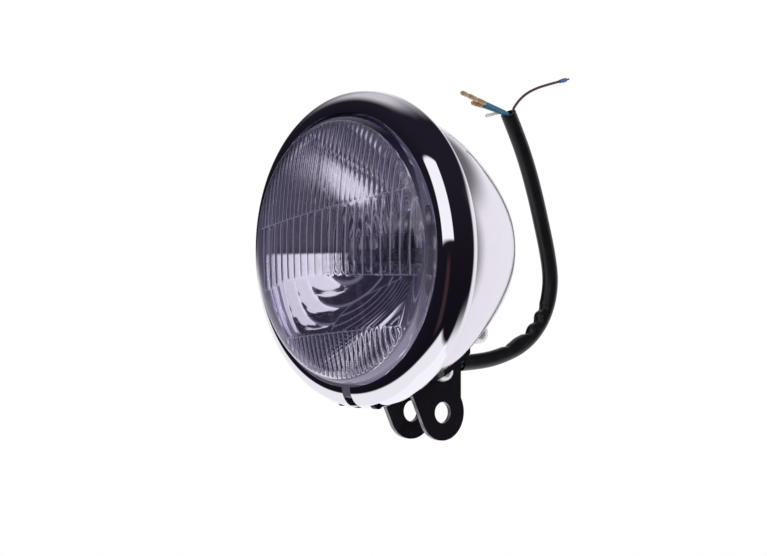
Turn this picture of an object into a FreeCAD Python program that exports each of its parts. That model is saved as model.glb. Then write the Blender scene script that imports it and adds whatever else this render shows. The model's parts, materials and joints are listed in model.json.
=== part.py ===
"""Round motorcycle headlight on a two-ear bottom bracket.

The origin is the middle of the bracket bolt's axis, +X runs along that bolt, -Y is the way the lamp
shines and +Z is up. The lamp is laid out on its own axis: y counts backwards from the plane of the rim's
widest circle and r is the distance from the axis.
"""
import FreeCAD
import Part
import Sketcher
import math
import os

Vector = FreeCAD.Vector
Rotation = FreeCAD.Rotation
Placement = FreeCAD.Placement

# Driving sizes in millimetres and degrees
SIZES = {
    "rim_radius": 81.0,
    "rim_setback": 41.0,
    "bracket_drop": 3.0,
    "rim_front_round": 11.0,
    "rim_back_round": 7.0,
    "rim_crown_front": 2.0,
    "rim_crown_back": 1.0,
    "rim_sheet": 1.2,
    "rim_split": 6.4,
    "rim_grip": 0.1,
    "lug_reach": 11.0,
    "lug_height": 4.6,
    "lug_depth": 6.0,
    "clamp_inset": 3.0,
    "clamp_forward": 3.2,
    "clamp_screw_radius": 1.75,
    "clamp_head_radius": 3.0,
    "clamp_head_length": 3.2,
    "clamp_hole_clearance": 0.15,
    "clamp_pocket_clearance": 0.5,
    "clamp_tail": 2.0,
    "clamp_pocket_length": 8.0,
    "bowl_step": 9.0,
    "bowl_sheet": 1.0,
    "bowl_straight": 7.0,
    "bowl_shoulder_round": 57.0,
    "bowl_shoulder_angle": 31.0,
    "bowl_flank_round": 186.0,
    "bowl_flank_angle": 10.0,
    "flange_step": 6.0,
    "flange_front": 2.2,
    "reflector_sheet": 0.8,
    "gasket_thickness": 1.5,
    "gasket_step": 12.0,
    "lens_flange_step": 5.5,
    "lens_flange_thickness": 5.4,
    "lens_skirt_step": 12.4,
    "lens_front": 28.5,
    "lens_bulge": 9.6,
    "lens_glass": 3.6,
    "lens_edge_round": 10.0,
    "flute_pitch": 3.6,
    "flute_depth": 0.4,
    "flute_land": 0.12,
    "flute_field_step": 4.6,
    "flute_field_half": 59.0,
    "coarse_pitch": 6.0,
    "coarse_depth": 0.7,
    "band_top_left": 9.0,
    "band_top_right": 33.0,
    "band_low_left": 24.0,
    "band_low_mid": 15.7,
    "band_low_right": 12.4,
    "window_low_left": 48.0,
    "window_low_right": 36.0,
    "mouth_step": 15.0,
    "focal_length": 26.0,
    "neck_radius": 19.0,
    "neck_length": 5.8,
    "seat_radius": 23.0,
    "bulb_flange_step": 1.5,
    "bulb_flange_sheet": 1.2,
    "bulb_body_radius": 10.5,
    "bulb_body_length": 8.8,
    "bulb_collar_length": 12.0,
    "bulb_glass_radius": 8.5,
    "bulb_glass_wall": 1.0,
    "bulb_glass_length": 51.0,
    "blade_width": 8.0,
    "blade_sheet": 0.8,
    "blade_length": 9.0,
    "blade_offset": 6.5,
    "filament_radius": 0.8,
    "filament_length": 5.0,
    "dip_filament_distance": 29.5,
    "main_filament_distance": 21.5,
    "post_radius": 0.5,
    "post_spacing": 3.2,
    "shield_radius": 5.0,
    "shield_sheet": 0.4,
    "shield_length": 12.0,
    "clip_radius": 18.0,
    "clip_wire": 0.6,
    "boot_wall": 2.2,
    "boot_lip": 3.0,
    "socket_radius": 13.0,
    "socket_length": 11.5,
    "slot_clearance": 0.2,
    "wire_radius": 1.0,
    "grommet_angle": 38.0,
    "grommet_hole_radius": 6.0,
    "grommet_lip": 2.0,
    "grommet_thickness": 2.0,
    "grommet_bore_radius": 4.0,
    "bracket_gap": 22.0,
    "bracket_plate": 2.5,
    "bracket_fit": 0.1,
    "ear_head_radius": 14.5,
    "bolt_hole_radius": 5.5,
    "ear_front_angle": 26.0,
    "ear_neck": 12.5,
    "ear_top": 40.0,
    "web_back": 5.0,
    "foot_half_width": 28.0,
    "foot_front": 12.0,
    "foot_back": 6.0,
    "foot_screw_side_angle": 18.3,
    "foot_screw_slope_angle": 28.5,
    "screw_radius": 2.5,
    "screw_head_radius": 5.0,
    "screw_head_height": 3.4,
    "screw_length": 11.0,
    "screw_clearance": 0.2,
    "nut_flats": 8.0,
    "nut_height": 4.0,
    "earth_screw_side_angle": 35.0,
    "earth_screw_slope_angle": 36.5,
    "inside_gap": 0.35,
    "seat_gap": 0.1,
    "cut_margin": 1.0,
    "ring_radius": 4.6,
    "ring_sheet": 0.8,
    "bundle_drop": 11.0,
    "bundle_inside": 10.0,
    "bundle_outside": 5.5,
    "earth_wire_gap": 0.4,
    "earth_wire_lift": 0.5,
    "earth_wire_reach": 6.0,
    "earth_wire_rise": 2.0,
    "earth_wire_drop": 14.0,
    "sleeve_radius": 4.2,
    "tail_radius": 1.0,
    "tail_rise": 1.2,
    "long_tail_side": 1.5,
    "long_tail_shift": 2.0,
    "long_tail_run": 16.0,
    "long_tail_angle": 17.0,
    "short_tail_side": 0.6,
    "short_tail_shift": 2.3,
    "short_tail_run": 15.0,
    "short_tail_angle": 13.0,
    "bullet_radius": 1.25,
    "long_bullet_length": 18.0,
    "short_bullet_length": 8.0,
    "short_bullet_side": 0.6,
    "clear_radius": 0.8,
    "clear_side": 2.45,
    "clear_shift": 1.1,
    "clear_rise": 1.6,
    "clear_run": 7.0,
    "clear_angle": 12.0,
    "clear_end_radius": 0.96,
    "clear_end_length": 5.4,
    "brown_radius": 0.7,
    "brown_side": 2.1,
    "brown_shift": 1.85,
    "brown_rise": 0.7,
    "brown_terminal_radius": 1.15,
    "brown_terminal_length": 5.4,
    "brown_pin_radius": 0.45,
    "brown_pin_length": 2.4,
}

# Sizes that follow from the driving ones
FOLLOWING = {
    "axis_height": "rim_radius + bracket_drop",
    "clamp_drop": "rim_radius - clamp_inset",
    "bowl_radius": "rim_radius - bowl_step",
    "flange_radius": "rim_radius - flange_step",
    "gasket_inner_radius": "rim_radius - gasket_step",
    "lens_flange_radius": "rim_radius - lens_flange_step",
    "lens_skirt_radius": "rim_radius - lens_skirt_step",
    "lens_dome_radius": "(lens_skirt_radius * lens_skirt_radius / lens_bulge + lens_bulge) / 2",
    "flute_field_radius": "lens_skirt_radius - flute_field_step",
    "mouth_radius": "rim_radius - mouth_step",
    "bulb_flange_radius": "seat_radius - bulb_flange_step",
}

# Runs of the wire sleeve and of the brown wire, as shares of the rim's radius along and above the lamp axis
SLEEVE_ROUTE = [
    (0.8247, -0.7321), (0.9877, -0.7235), (1.1420, -0.6963), (1.2938, -0.6494), (1.4000, -0.5901),
    (1.4852, -0.5123), (1.5494, -0.4173), (1.5901, -0.3074), (1.6037, -0.1778), (1.5728, -0.0123),
    (1.5235, 0.1605), (1.4679, 0.3457), (1.3975, 0.5432), (1.3136, 0.7284), (1.2222, 0.8926),
]
BROWN_ROUTE = [
    (1.2593, 0.9407), (1.3037, 0.9864), (1.3630, 1.0259), (1.4420, 1.0593), (1.5383, 1.0864),
    (1.6605, 1.1136),
]

doc = FreeCAD.newDocument("headlight")
sheet = doc.addObject("Spreadsheet::Sheet", "Sizes")
for row, (name, number) in enumerate(SIZES.items(), start=1):
    sheet.set("A%d" % row, name)
    sheet.set("B%d" % row, str(number))
    sheet.setAlias("B%d" % row, name)
for row, (name, rule) in enumerate(FOLLOWING.items(), start=len(SIZES) + 1):
    sheet.set("A%d" % row, name)
    sheet.set("B%d" % row, "=" + rule)
    sheet.setAlias("B%d" % row, name)
doc.recompute()


class Size:
    """A length that carries both its value and the sheet formula it comes from."""

    def __init__(self, value, text):
        self.value = value
        self.text = text

    @staticmethod
    def of(thing):
        if isinstance(thing, Size):
            return thing
        return Size(float(thing), repr(float(thing)))

    def join(self, other, sign, result):
        other = Size.of(other)
        return Size(result(self.value, other.value), "(%s %s %s)" % (self.text, sign, other.text))

    def __add__(self, other):
        return self.join(other, "+", lambda a, b: a + b)

    def __radd__(self, other):
        return Size.of(other) + self

    def __sub__(self, other):
        return self.join(other, "-", lambda a, b: a - b)

    def __rsub__(self, other):
        return Size.of(other) - self

    def __mul__(self, other):
        return self.join(other, "*", lambda a, b: a * b)

    def __rmul__(self, other):
        return Size.of(other) * self

    def __truediv__(self, other):
        return self.join(other, "/", lambda a, b: a / b)

    def __neg__(self):
        return Size(-self.value, "(0 - %s)" % self.text)


def sine(angle):
    return Size(math.sin(math.radians(angle.value)), "sin(%s * 1deg)" % angle.text)


def cosine(angle):
    return Size(math.cos(math.radians(angle.value)), "cos(%s * 1deg)" % angle.text)


def root(size):
    return Size(math.sqrt(size.value), "sqrt(%s)" % size.text)


class Dimensions:
    """Every named size of the sheet, read as an attribute."""

    def __getattr__(self, name):
        return Size(float(sheet.get(name)), "Sizes." + name)


d = Dimensions()
ZERO = Size.of(0)
results = {}


def keep(label, thing):
    """Name a finished sub-part so that it is checked and written out."""
    thing.Label = label
    results[label] = thing
    return thing


def bind(thing, prop, size):
    thing.setExpression(prop, Size.of(size).text)


def place(thing, x, y, z, turn=None):
    """Put a thing at a point of the frame, its three coordinates bound to the sheet."""
    rotation = turn if turn else Rotation()
    here = [Size.of(size) for size in (x, y, z)]
    thing.Placement = Placement(Vector(*[size.value for size in here]), rotation)
    for letter, size in zip("xyz", here):
        bind(thing, "Placement.Base." + letter, size)
    return thing


def on_lamp(thing, x=0, y=0, z=0, turn=None):
    """Put a thing at a point measured from the lamp axis and the rim's widest circle."""
    return place(thing, x, Size.of(y) - d.rim_setback, Size.of(z) + d.axis_height, turn)


def lamp_point(x, y, z):
    return Vector(x, y - d.rim_setback.value, z + d.axis_height.value)


def route_point(x, along, above):
    """A point of a wire's run, from its shares of the rim's radius."""
    return lamp_point(x, along * d.rim_radius.value, above * d.rim_radius.value)


def sketch_outline(body, role, steps):
    """Draw a closed outline whose corners and arc radii are bound to the sheet.

    A step is (u, v) for a straight side to that corner, or (u, v, radius, way) for an arc to it, way being
    +1 for anticlockwise. The last step closes on the first corner.
    """
    sketch = body.newObject("Sketcher::SketchObject", "Outline")
    plane = [item for item in body.Origin.OriginFeatures if item.Role == role][0]
    sketch.AttachmentSupport = [(plane, "")]
    sketch.MapMode = "FlatFace"
    steps = [tuple(Size.of(part) for part in step) for step in steps]
    count = len(steps)
    ends = []
    for index in range(count):
        start = Vector(steps[index - 1][0].value, steps[index - 1][1].value, 0)
        stop = Vector(steps[index][0].value, steps[index][1].value, 0)
        if len(steps[index]) == 2:
            sketch.addGeometry(Part.LineSegment(start, stop))
            ends.append((1, 2))
            continue
        radius = steps[index][2].value
        way = 1 if steps[index][3].value > 0 else -1
        chord = stop - start
        across = Vector(-chord.y, chord.x, 0).normalize()
        rise = math.sqrt(max(radius ** 2 - (chord.Length / 2) ** 2, 0))
        centre = (start + stop) * 0.5 + across * rise * way
        first, last = (start, stop) if way > 0 else (stop, start)
        angle_first = math.atan2(first.y - centre.y, first.x - centre.x)
        angle_last = math.atan2(last.y - centre.y, last.x - centre.x)
        if angle_last <= angle_first:
            angle_last += 2 * math.pi
        circle = Part.Circle(centre, Vector(0, 0, 1), radius)
        sketch.addGeometry(Part.ArcOfCircle(circle, angle_first, angle_last))
        ends.append((1, 2) if way > 0 else (2, 1))
    for index in range(count):
        after = (index + 1) % count
        sketch.addConstraint(Sketcher.Constraint("Coincident", index, ends[index][1], after, ends[after][0]))
    for index, step in enumerate(steps):
        corner = ends[index][1]
        for kind, axis, size in (("DistanceX", -2, step[0]), ("DistanceY", -1, step[1])):
            if size.value == 0:
                sketch.addConstraint(Sketcher.Constraint("PointOnObject", index, corner, axis))
                continue
            number = sketch.addConstraint(Sketcher.Constraint(kind, index, corner, size.value))
            sketch.setExpression("Constraints[%d]" % number, size.text)
        if len(step) == 4:
            number = sketch.addConstraint(Sketcher.Constraint("Radius", index, step[2].value))
            sketch.setExpression("Constraints[%d]" % number, step[2].text)
    return sketch


def turned(steps, angle=360.0):
    """A body turned about the y axis from an outline in y and r."""
    body = doc.addObject("PartDesign::Body", "Body")
    sketch = sketch_outline(body, "YZ_Plane", steps)
    turn = body.newObject("PartDesign::Revolution", "Turn")
    turn.Profile = sketch
    turn.ReferenceAxis = (sketch, ["H_Axis"])
    turn.Angle = angle
    return body


def padded(role, steps, length):
    """A body pushed out evenly to both sides of a plane from an outline."""
    body = doc.addObject("PartDesign::Body", "Body")
    sketch = sketch_outline(body, role, steps)
    pad = body.newObject("PartDesign::Pad", "Pad")
    pad.Profile = sketch
    pad.SideType = "Symmetric"
    bind(pad, "Length", length)
    return body


def cylinder(radius, height):
    thing = doc.addObject("Part::Cylinder", "Cylinder")
    bind(thing, "Radius", radius)
    bind(thing, "Height", height)
    return thing


def box(length, width, height):
    thing = doc.addObject("Part::Box", "Box")
    bind(thing, "Length", length)
    bind(thing, "Width", width)
    bind(thing, "Height", height)
    return thing


def cut(base, *tools):
    for tool in tools:
        step = doc.addObject("Part::Cut", "Cut")
        step.Base = base
        step.Tool = tool
        base = step
    return base


def common(base, tool):
    step = doc.addObject("Part::Common", "Common")
    step.Base = base
    step.Tool = tool
    return step


def fused(*parts):
    step = doc.addObject("Part::MultiFuse", "Fuse")
    step.Shapes = list(parts)
    return step


def group(*parts):
    """Separate solids of one sub-part."""
    step = doc.addObject("Part::Compound", "Group")
    step.Links = list(parts)
    return step


def mirrored(thing):
    """The same thing on the other side of the middle plane."""
    step = doc.addObject("Part::Mirroring", "Mirror")
    step.Source = thing
    step.Normal = (1, 0, 0)
    step.Base = (0, 0, 0)
    return step


def shaped(shape):
    step = doc.addObject("Part::Feature", "Swept")
    step.Shape = shape
    return step


ALONG_X = Rotation(Vector(0, 1, 0), 90)
ALONG_Y = Rotation(Vector(1, 0, 0), -90)


def bowl_curve(offset):
    """Corners and arcs of the bowl's outside, moved out by an offset, from its straight edge to its nose."""
    shoulder = d.bowl_shoulder_angle
    flank = d.bowl_shoulder_angle + d.bowl_flank_angle
    first_r = d.bowl_radius - d.bowl_shoulder_round
    join_y = d.bowl_straight + d.bowl_shoulder_round * sine(shoulder)
    join_r = first_r + d.bowl_shoulder_round * cosine(shoulder)
    second_y = join_y - d.bowl_flank_round * sine(shoulder)
    second_r = join_r - d.bowl_flank_round * cosine(shoulder)
    end_y = second_y + d.bowl_flank_round * sine(flank)
    end_r = second_r + d.bowl_flank_round * cosine(flank)
    nose_round = end_r / cosine(flank)
    nose_y = end_y - nose_round * sine(flank)
    a = d.bowl_shoulder_round + offset
    b = d.bowl_flank_round + offset
    c = nose_round + offset
    return [
        (d.bowl_straight, d.bowl_radius + offset),
        (d.bowl_straight + a * sine(shoulder), first_r + a * cosine(shoulder), a, -1),
        (second_y + b * sine(flank), second_r + b * cosine(flank), b, -1),
        (nose_y + c, ZERO, c, -1),
    ]


def bowl_blank(offset):
    """A filled bowl, its outside moved outwards by an offset."""
    curve = bowl_curve(offset)
    body = turned([(-d.flange_front, ZERO), (-d.flange_front, d.bowl_radius + offset)] + curve)
    return on_lamp(body)


def bowl_spot(slope, side):
    """Place on the bowl's shoulder or flank, facing out, from its slope and its angle off the bottom."""
    slope_rad = math.radians(slope.value)
    side_rad = math.radians(side.value)
    start_rad = math.radians(d.bowl_shoulder_angle.value)
    shoulder = d.bowl_shoulder_round.value
    flank = d.bowl_flank_round.value
    on_shoulder = min(slope_rad, start_rad)
    on_flank = max(slope_rad, start_rad)
    y = d.bowl_straight.value + shoulder * math.sin(on_shoulder)
    y += flank * (math.sin(on_flank) - math.sin(start_rad))
    r = d.bowl_radius.value - shoulder * (1 - math.cos(on_shoulder))
    r -= flank * (math.cos(start_rad) - math.cos(on_flank))
    down = Vector(math.sin(side_rad), 0, -math.cos(side_rad))
    back = Vector(0, 1, 0)
    out = down * math.cos(slope_rad) + back * math.sin(slope_rad)
    along = back * math.cos(slope_rad) - down * math.sin(slope_rad)
    return Placement(lamp_point(0, y, 0) + down * r, Rotation(along.cross(out), along, out, "ZYX"))


ROUND_SHARE = 0.45


def rounded_path(points):
    """Straight runs joined by tangent arcs, each arc taking the same share of the shorter run beside it."""
    edges = []
    last = points[0]
    for before, here, after in zip(points, points[1:], points[2:]):
        run_in = here - before
        run_out = after - here
        take = ROUND_SHARE * min(run_in.Length, run_out.Length)
        half_turn = run_in.getAngle(run_out) / 2
        start = here - Vector(run_in).normalize() * take
        stop = here + Vector(run_out).normalize() * take
        inward = (Vector(run_out).normalize() - Vector(run_in).normalize()).normalize()
        radius = take / math.tan(half_turn)
        middle = here + inward * (radius / math.cos(half_turn) - radius)
        edges.append(Part.LineSegment(last, start).toShape())
        edges.append(Part.Arc(start, middle, stop).toShape())
        last = stop
    edges.append(Part.LineSegment(last, points[-1]).toShape())
    return Part.Wire(edges)


def swept(points, radius):
    """A round solid along a rounded path."""
    path = rounded_path(points)
    ring = Part.Wire(Part.Circle(points[0], points[1] - points[0], radius).toShape())
    return path.makePipeShell([ring], True, True)


# Bowl with its out-turned front flange, its wire hole and its screw holes
inner_curve = bowl_curve(-d.bowl_sheet)
outer_curve = bowl_curve(ZERO)
back_to_front = [
    (inner_curve[3][0], ZERO),
    (inner_curve[2][0], inner_curve[2][1], inner_curve[3][2], 1),
    (inner_curve[1][0], inner_curve[1][1], inner_curve[2][2], 1),
    (inner_curve[0][0], inner_curve[0][1], inner_curve[1][2], 1),
]
shell_blank = on_lamp(turned(
    [(-d.flange_front, d.bowl_radius - d.bowl_sheet), (-d.flange_front, d.flange_radius),
     (d.bowl_sheet - d.flange_front, d.flange_radius), (d.bowl_sheet - d.flange_front, d.bowl_radius)]
    + outer_curve + back_to_front))

DRILL_LENGTH = 20.0
grommet_spot = bowl_spot(d.grommet_angle, ZERO)
foot_spot = bowl_spot(d.foot_screw_slope_angle, d.foot_screw_side_angle)
earth_spot = bowl_spot(d.earth_screw_slope_angle, d.earth_screw_side_angle)


def hole_at(spot, radius):
    """A drill through the sheet at a spot on the bowl."""
    drill = cylinder(radius, DRILL_LENGTH)
    drill.Placement = spot.multiply(Placement(Vector(0, 0, -DRILL_LENGTH / 2), Rotation()))
    return drill


screw_hole = d.screw_radius + d.screw_clearance
foot_drill = hole_at(foot_spot, screw_hole)
keep("shell", cut(shell_blank, hole_at(grommet_spot, d.grommet_hole_radius), foot_drill, mirrored(foot_drill),
                  hole_at(earth_spot, screw_hole)))

# Split rim with its two inner lugs and the pockets for the clamp screw
lip_radius = d.rim_radius - d.rim_front_round
grip_radius = d.bowl_radius + d.rim_grip
front_y = -(d.rim_crown_front + d.rim_front_round)
back_y = d.rim_crown_back + d.rim_back_round
back_foot = d.rim_radius - d.rim_back_round
rim_ring = turned([
    (front_y, lip_radius),
    (-d.rim_crown_front, d.rim_radius, d.rim_front_round, -1),
    (d.rim_crown_back, d.rim_radius),
    (back_y, back_foot, d.rim_back_round, -1),
    (back_y, grip_radius),
    (back_y - d.rim_sheet, grip_radius),
    (back_y - d.rim_sheet, back_foot),
    (d.rim_crown_back, d.rim_radius - d.rim_sheet, d.rim_back_round - d.rim_sheet, 1),
    (-d.rim_crown_front, d.rim_radius - d.rim_sheet),
    (front_y + d.rim_sheet, lip_radius, d.rim_front_round - d.rim_sheet, 1),
])
on_lamp(rim_ring)
lug_top = d.rim_radius - d.rim_sheet / 2
lug_ring = on_lamp(turned([
    (-d.clamp_forward - d.lug_depth / 2, lug_top - d.lug_height),
    (-d.clamp_forward - d.lug_depth / 2, lug_top - d.rim_sheet),
    (d.lug_depth / 2 - d.clamp_forward, lug_top),
    (d.lug_depth / 2 - d.clamp_forward, lug_top - d.lug_height),
]))
lug_box = on_lamp(box(2 * d.lug_reach, d.lug_depth * 3, d.rim_radius), -d.lug_reach,
                  -d.clamp_forward - 1.5 * d.lug_depth, -d.rim_radius - d.cut_margin)
split_box = on_lamp(box(d.rim_split, d.rim_radius, d.rim_radius), -d.rim_split / 2, -d.rim_radius / 2,
                    -d.rim_radius - d.cut_margin)
clamp_bore = on_lamp(cylinder(d.clamp_screw_radius + d.clamp_hole_clearance, 3 * d.lug_reach),
                     -1.5 * d.lug_reach, -d.clamp_forward, -d.clamp_drop, ALONG_X)
pocket_radius = d.clamp_head_radius + d.clamp_pocket_clearance
head_pocket = on_lamp(cylinder(pocket_radius, d.clamp_pocket_length), d.lug_reach, -d.clamp_forward,
                      -d.clamp_drop, ALONG_X)
nut_pocket = on_lamp(cylinder(pocket_radius, d.clamp_pocket_length), -d.lug_reach - d.clamp_pocket_length,
                     -d.clamp_forward, -d.clamp_drop, ALONG_X)
keep("rim", cut(fused(rim_ring, common(lug_ring, lug_box)), split_box, clamp_bore, head_pocket, nut_pocket))

# Clamp screw across the split and its square nut
screw_shank = on_lamp(cylinder(d.clamp_screw_radius, 2 * d.lug_reach + d.clamp_head_length + d.clamp_tail),
                      -d.lug_reach - d.clamp_head_length - d.clamp_tail, -d.clamp_forward, -d.clamp_drop,
                      ALONG_X)
screw_head = on_lamp(cylinder(d.clamp_head_radius, d.clamp_head_length), d.lug_reach, -d.clamp_forward,
                     -d.clamp_drop, ALONG_X)
slot_width = d.clamp_screw_radius / 2
cross_one = on_lamp(box(d.clamp_head_length, slot_width, 2.8 * d.clamp_screw_radius),
                    d.lug_reach + d.clamp_head_length / 2, -d.clamp_forward - slot_width / 2,
                    -d.clamp_drop - 1.4 * d.clamp_screw_radius)
cross_two = on_lamp(box(d.clamp_head_length, 2.8 * d.clamp_screw_radius, slot_width),
                    d.lug_reach + d.clamp_head_length / 2, -d.clamp_forward - 1.4 * d.clamp_screw_radius,
                    -d.clamp_drop - slot_width / 2)
keep("rim_clamp_screw", cut(fused(screw_shank, screw_head), cross_one, cross_two))
nut_side = 1.36 * d.clamp_head_radius
nut_block = on_lamp(box(d.clamp_head_length, nut_side, nut_side), -d.lug_reach - d.clamp_head_length,
                    -d.clamp_forward - nut_side / 2, -d.clamp_drop - nut_side / 2)
nut_bore = on_lamp(cylinder(d.clamp_screw_radius, 3 * d.lug_reach), -3 * d.lug_reach, -d.clamp_forward,
                   -d.clamp_drop, ALONG_X)
keep("rim_clamp_nut", cut(nut_block, nut_bore))

# Reflector seat, gasket and lens stack up forwards from the bowl's flange
reflector_front = -(d.flange_front + d.reflector_sheet)
lens_back = reflector_front - d.gasket_thickness
lens_shelf = lens_back - d.lens_flange_thickness
keep("lens_gasket", on_lamp(turned([
    (lens_back, d.gasket_inner_radius), (lens_back, d.flange_radius),
    (reflector_front, d.flange_radius), (reflector_front, d.gasket_inner_radius)])))

# Domed glass with its flange, skirt and inner flutes
dome_centre = d.lens_dome_radius - d.lens_front
inner_dome = d.lens_dome_radius - d.lens_glass
skirt_inner = d.lens_skirt_radius - d.lens_glass


def dome_y(dome, radius):
    """Place along the lamp axis where a dome about the glass's centre has a given radius."""
    return dome_centre - root(dome * dome - radius * radius)


edge_y = dome_y(d.lens_dome_radius, d.lens_skirt_radius)
inner_edge_y = dome_y(inner_dome, skirt_inner)
lens_body = turned([
    (lens_back, skirt_inner), (lens_back, d.lens_flange_radius), (lens_shelf, d.lens_flange_radius),
    (lens_shelf, d.lens_skirt_radius), (edge_y, d.lens_skirt_radius),
    (-d.lens_front, ZERO, d.lens_dome_radius, 1), (d.lens_glass - d.lens_front, ZERO),
    (inner_edge_y, skirt_inner, inner_dome, -1)])
on_lamp(lens_body)
doc.recompute()
turn = lens_body.Tip
edges = []
for number, edge in enumerate(turn.Shape.Edges, start=1):
    if edge.Degenerated:
        continue
    if isinstance(edge.Curve, Part.Circle) and abs(edge.Curve.Radius - d.lens_skirt_radius.value) < 0.01:
        if edge.Curve.Center.y < lens_shelf.value - d.cut_margin.value:
            edges.append("Edge%d" % number)
edge_round = lens_body.newObject("PartDesign::Fillet", "EdgeRound")
edge_round.Base = (turn, edges)
bind(edge_round, "Radius", d.lens_edge_round)
lens_body.Tip = edge_round
FLUTE_SWEEP = 36.0


def flute_rows(pitch, depth):
    """Scallops that follow the glass's inner dome, side by side across the lamp.

    The outline is a row of arcs along the dome's level section. It is turned about a level axis through the
    dome's centre, so each scallop runs up and down the glass at an even depth.
    """
    half_count = int(d.flute_field_half.value / pitch.value)
    hollow = depth + d.flute_land
    radius = (pitch * pitch / 4 + hollow * hollow) / (2 * hollow)

    def corner_at(number):
        corner = (number + 0.5) * pitch
        return corner, -(root(inner_dome * inner_dome - corner * corner) - d.flute_land)

    behind = d.lens_glass - inner_dome + d.lens_front / 2
    first = corner_at(-half_count - 1)
    steps = [(corner_at(half_count)[0], behind), (first[0], behind), first]
    for number in range(-half_count, half_count + 1):
        steps.append(corner_at(number) + (radius, 1))
    body = doc.addObject("PartDesign::Body", "Body")
    sketch = sketch_outline(body, "XY_Plane", steps)
    turn_about = body.newObject("PartDesign::Revolution", "Turn")
    turn_about.Profile = sketch
    turn_about.ReferenceAxis = (sketch, ["H_Axis"])
    turn_about.Midplane = True
    turn_about.Angle = FLUTE_SWEEP
    return on_lamp(body, 0, dome_centre, 0)


field = on_lamp(cylinder(d.flute_field_radius, d.lens_front), 0, -d.lens_front, 0, ALONG_Y)
wide = d.lens_skirt_radius


def zone(corners):
    """A block through the glass over one zone of its pattern, from corners in x and z."""
    return on_lamp(padded("XZ_Plane", corners, 4 * d.lens_front))


upper_zone = zone([(wide, wide), (-wide, wide), (-wide, d.band_top_left), (wide, d.band_top_right)])
middle_zone = zone([
    (wide, d.band_top_right - 5 * d.flute_land), (-wide, d.band_top_left - 5 * d.flute_land),
    (-wide, -d.band_low_left), (-wide / 2, -d.band_low_mid), (ZERO, -d.band_low_right),
    (wide, -d.band_low_right)])
bottom_zone = zone([(wide, -d.window_low_right), (-wide, -d.window_low_left), (-wide, -wide), (wide, -wide)])
fine_flutes = common(flute_rows(d.flute_pitch, d.flute_depth), common(field, fused(upper_zone, bottom_zone)))
coarse_flutes = common(flute_rows(d.coarse_pitch, d.coarse_depth), common(field, middle_zone))
keep("lens", cut(lens_body, fine_flutes, coarse_flutes))

# Pressed paraboloid reflector with its front flange and bulb neck
sheet_r = d.reflector_sheet.value
focal = d.focal_length.value
mouth_y = -d.flange_front.value
vertex_y = mouth_y + d.mouth_radius.value ** 2 / (4 * focal)


def bowl_depth(radius):
    """Place along the axis where the reflecting face has a given radius."""
    return vertex_y - radius ** 2 / (4 * focal)


def parabola_side(shift, radius_from, radius_to):
    """One side of the reflector's section as a smooth curve."""
    steps = 24
    points = []
    for step in range(steps + 1):
        radius = radius_from + (radius_to - radius_from) * step / steps
        points.append(lamp_point(0, bowl_depth(radius) + shift, radius))
    curve = Part.BSplineCurve()
    curve.interpolate(points)
    return curve.toShape()


neck = d.neck_radius.value
mouth = d.mouth_radius.value
outer_mouth = math.sqrt(4 * focal * (vertex_y + sheet_r - mouth_y))
seat_y = bowl_depth(neck) + d.neck_length.value
seat_radius = d.seat_radius.value
face = parabola_side(0, neck, math.sqrt(4 * focal * (vertex_y - reflector_front.value)))
back = parabola_side(sheet_r, outer_mouth, neck + sheet_r)
corners = [
    max((corner.Point for corner in face.Vertexes), key=lambda point: point.z),
    lamp_point(0, reflector_front.value, d.flange_radius.value),
    lamp_point(0, mouth_y, d.flange_radius.value),
    lamp_point(0, mouth_y, outer_mouth),
]
tail_corners = [
    lamp_point(0, bowl_depth(neck + sheet_r) + sheet_r, neck + sheet_r),
    lamp_point(0, seat_y - sheet_r, neck + sheet_r),
    lamp_point(0, seat_y - sheet_r, seat_radius),
    lamp_point(0, seat_y, seat_radius),
    lamp_point(0, seat_y, neck),
    lamp_point(0, bowl_depth(neck), neck),
]
sides = [face]
sides += [Part.LineSegment(a, b).toShape() for a, b in zip(corners, corners[1:])]
sides.append(back)
sides += [Part.LineSegment(a, b).toShape() for a, b in zip(tail_corners, tail_corners[1:])]
section = Part.Face(Part.Wire(Part.__sortEdges__(sides)))
keep("reflector", shaped(section.revolve(lamp_point(0, 0, 0), Vector(0, 1, 0), 360)))

# Twin-filament bulb: metal base, hollow glass, blades, shield, posts and filaments
seat = Size.of(seat_y)
base_back = seat + d.bulb_flange_sheet + d.bulb_body_length
collar_inner = d.bulb_glass_radius + d.slot_clearance
collar_front = seat - d.bulb_collar_length
collar_floor = seat - d.bulb_collar_length / 3
keep("bulb_base", on_lamp(turned([
    (collar_front, d.bulb_body_radius), (seat, d.bulb_body_radius), (seat, d.bulb_flange_radius),
    (seat + d.bulb_flange_sheet, d.bulb_flange_radius), (seat + d.bulb_flange_sheet, d.bulb_body_radius),
    (base_back, d.bulb_body_radius), (base_back, ZERO), (collar_floor, ZERO), (collar_floor, collar_inner),
    (collar_front, collar_inner)])))
glass_front = seat - d.bulb_glass_length
glass_inner = d.bulb_glass_radius - d.bulb_glass_wall
keep("bulb_glass", on_lamp(turned([
    (collar_floor, d.bulb_glass_radius), (glass_front + d.bulb_glass_radius, d.bulb_glass_radius),
    (glass_front, ZERO, d.bulb_glass_radius, 1), (glass_front + d.bulb_glass_wall, ZERO),
    (glass_front + d.bulb_glass_radius, glass_inner, glass_inner, -1), (collar_floor, glass_inner)])))
side_blade = on_lamp(box(d.blade_sheet, d.blade_length, d.blade_width), d.blade_offset, base_back,
                     -d.blade_width / 2)
top_blade = on_lamp(box(d.blade_width, d.blade_length, d.blade_sheet), -d.blade_width / 2, base_back,
                    d.blade_offset)
keep("bulb_contacts", group(side_blade, mirrored(side_blade), top_blade))
dip_y = seat - d.dip_filament_distance
main_y = seat - d.main_filament_distance
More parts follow.
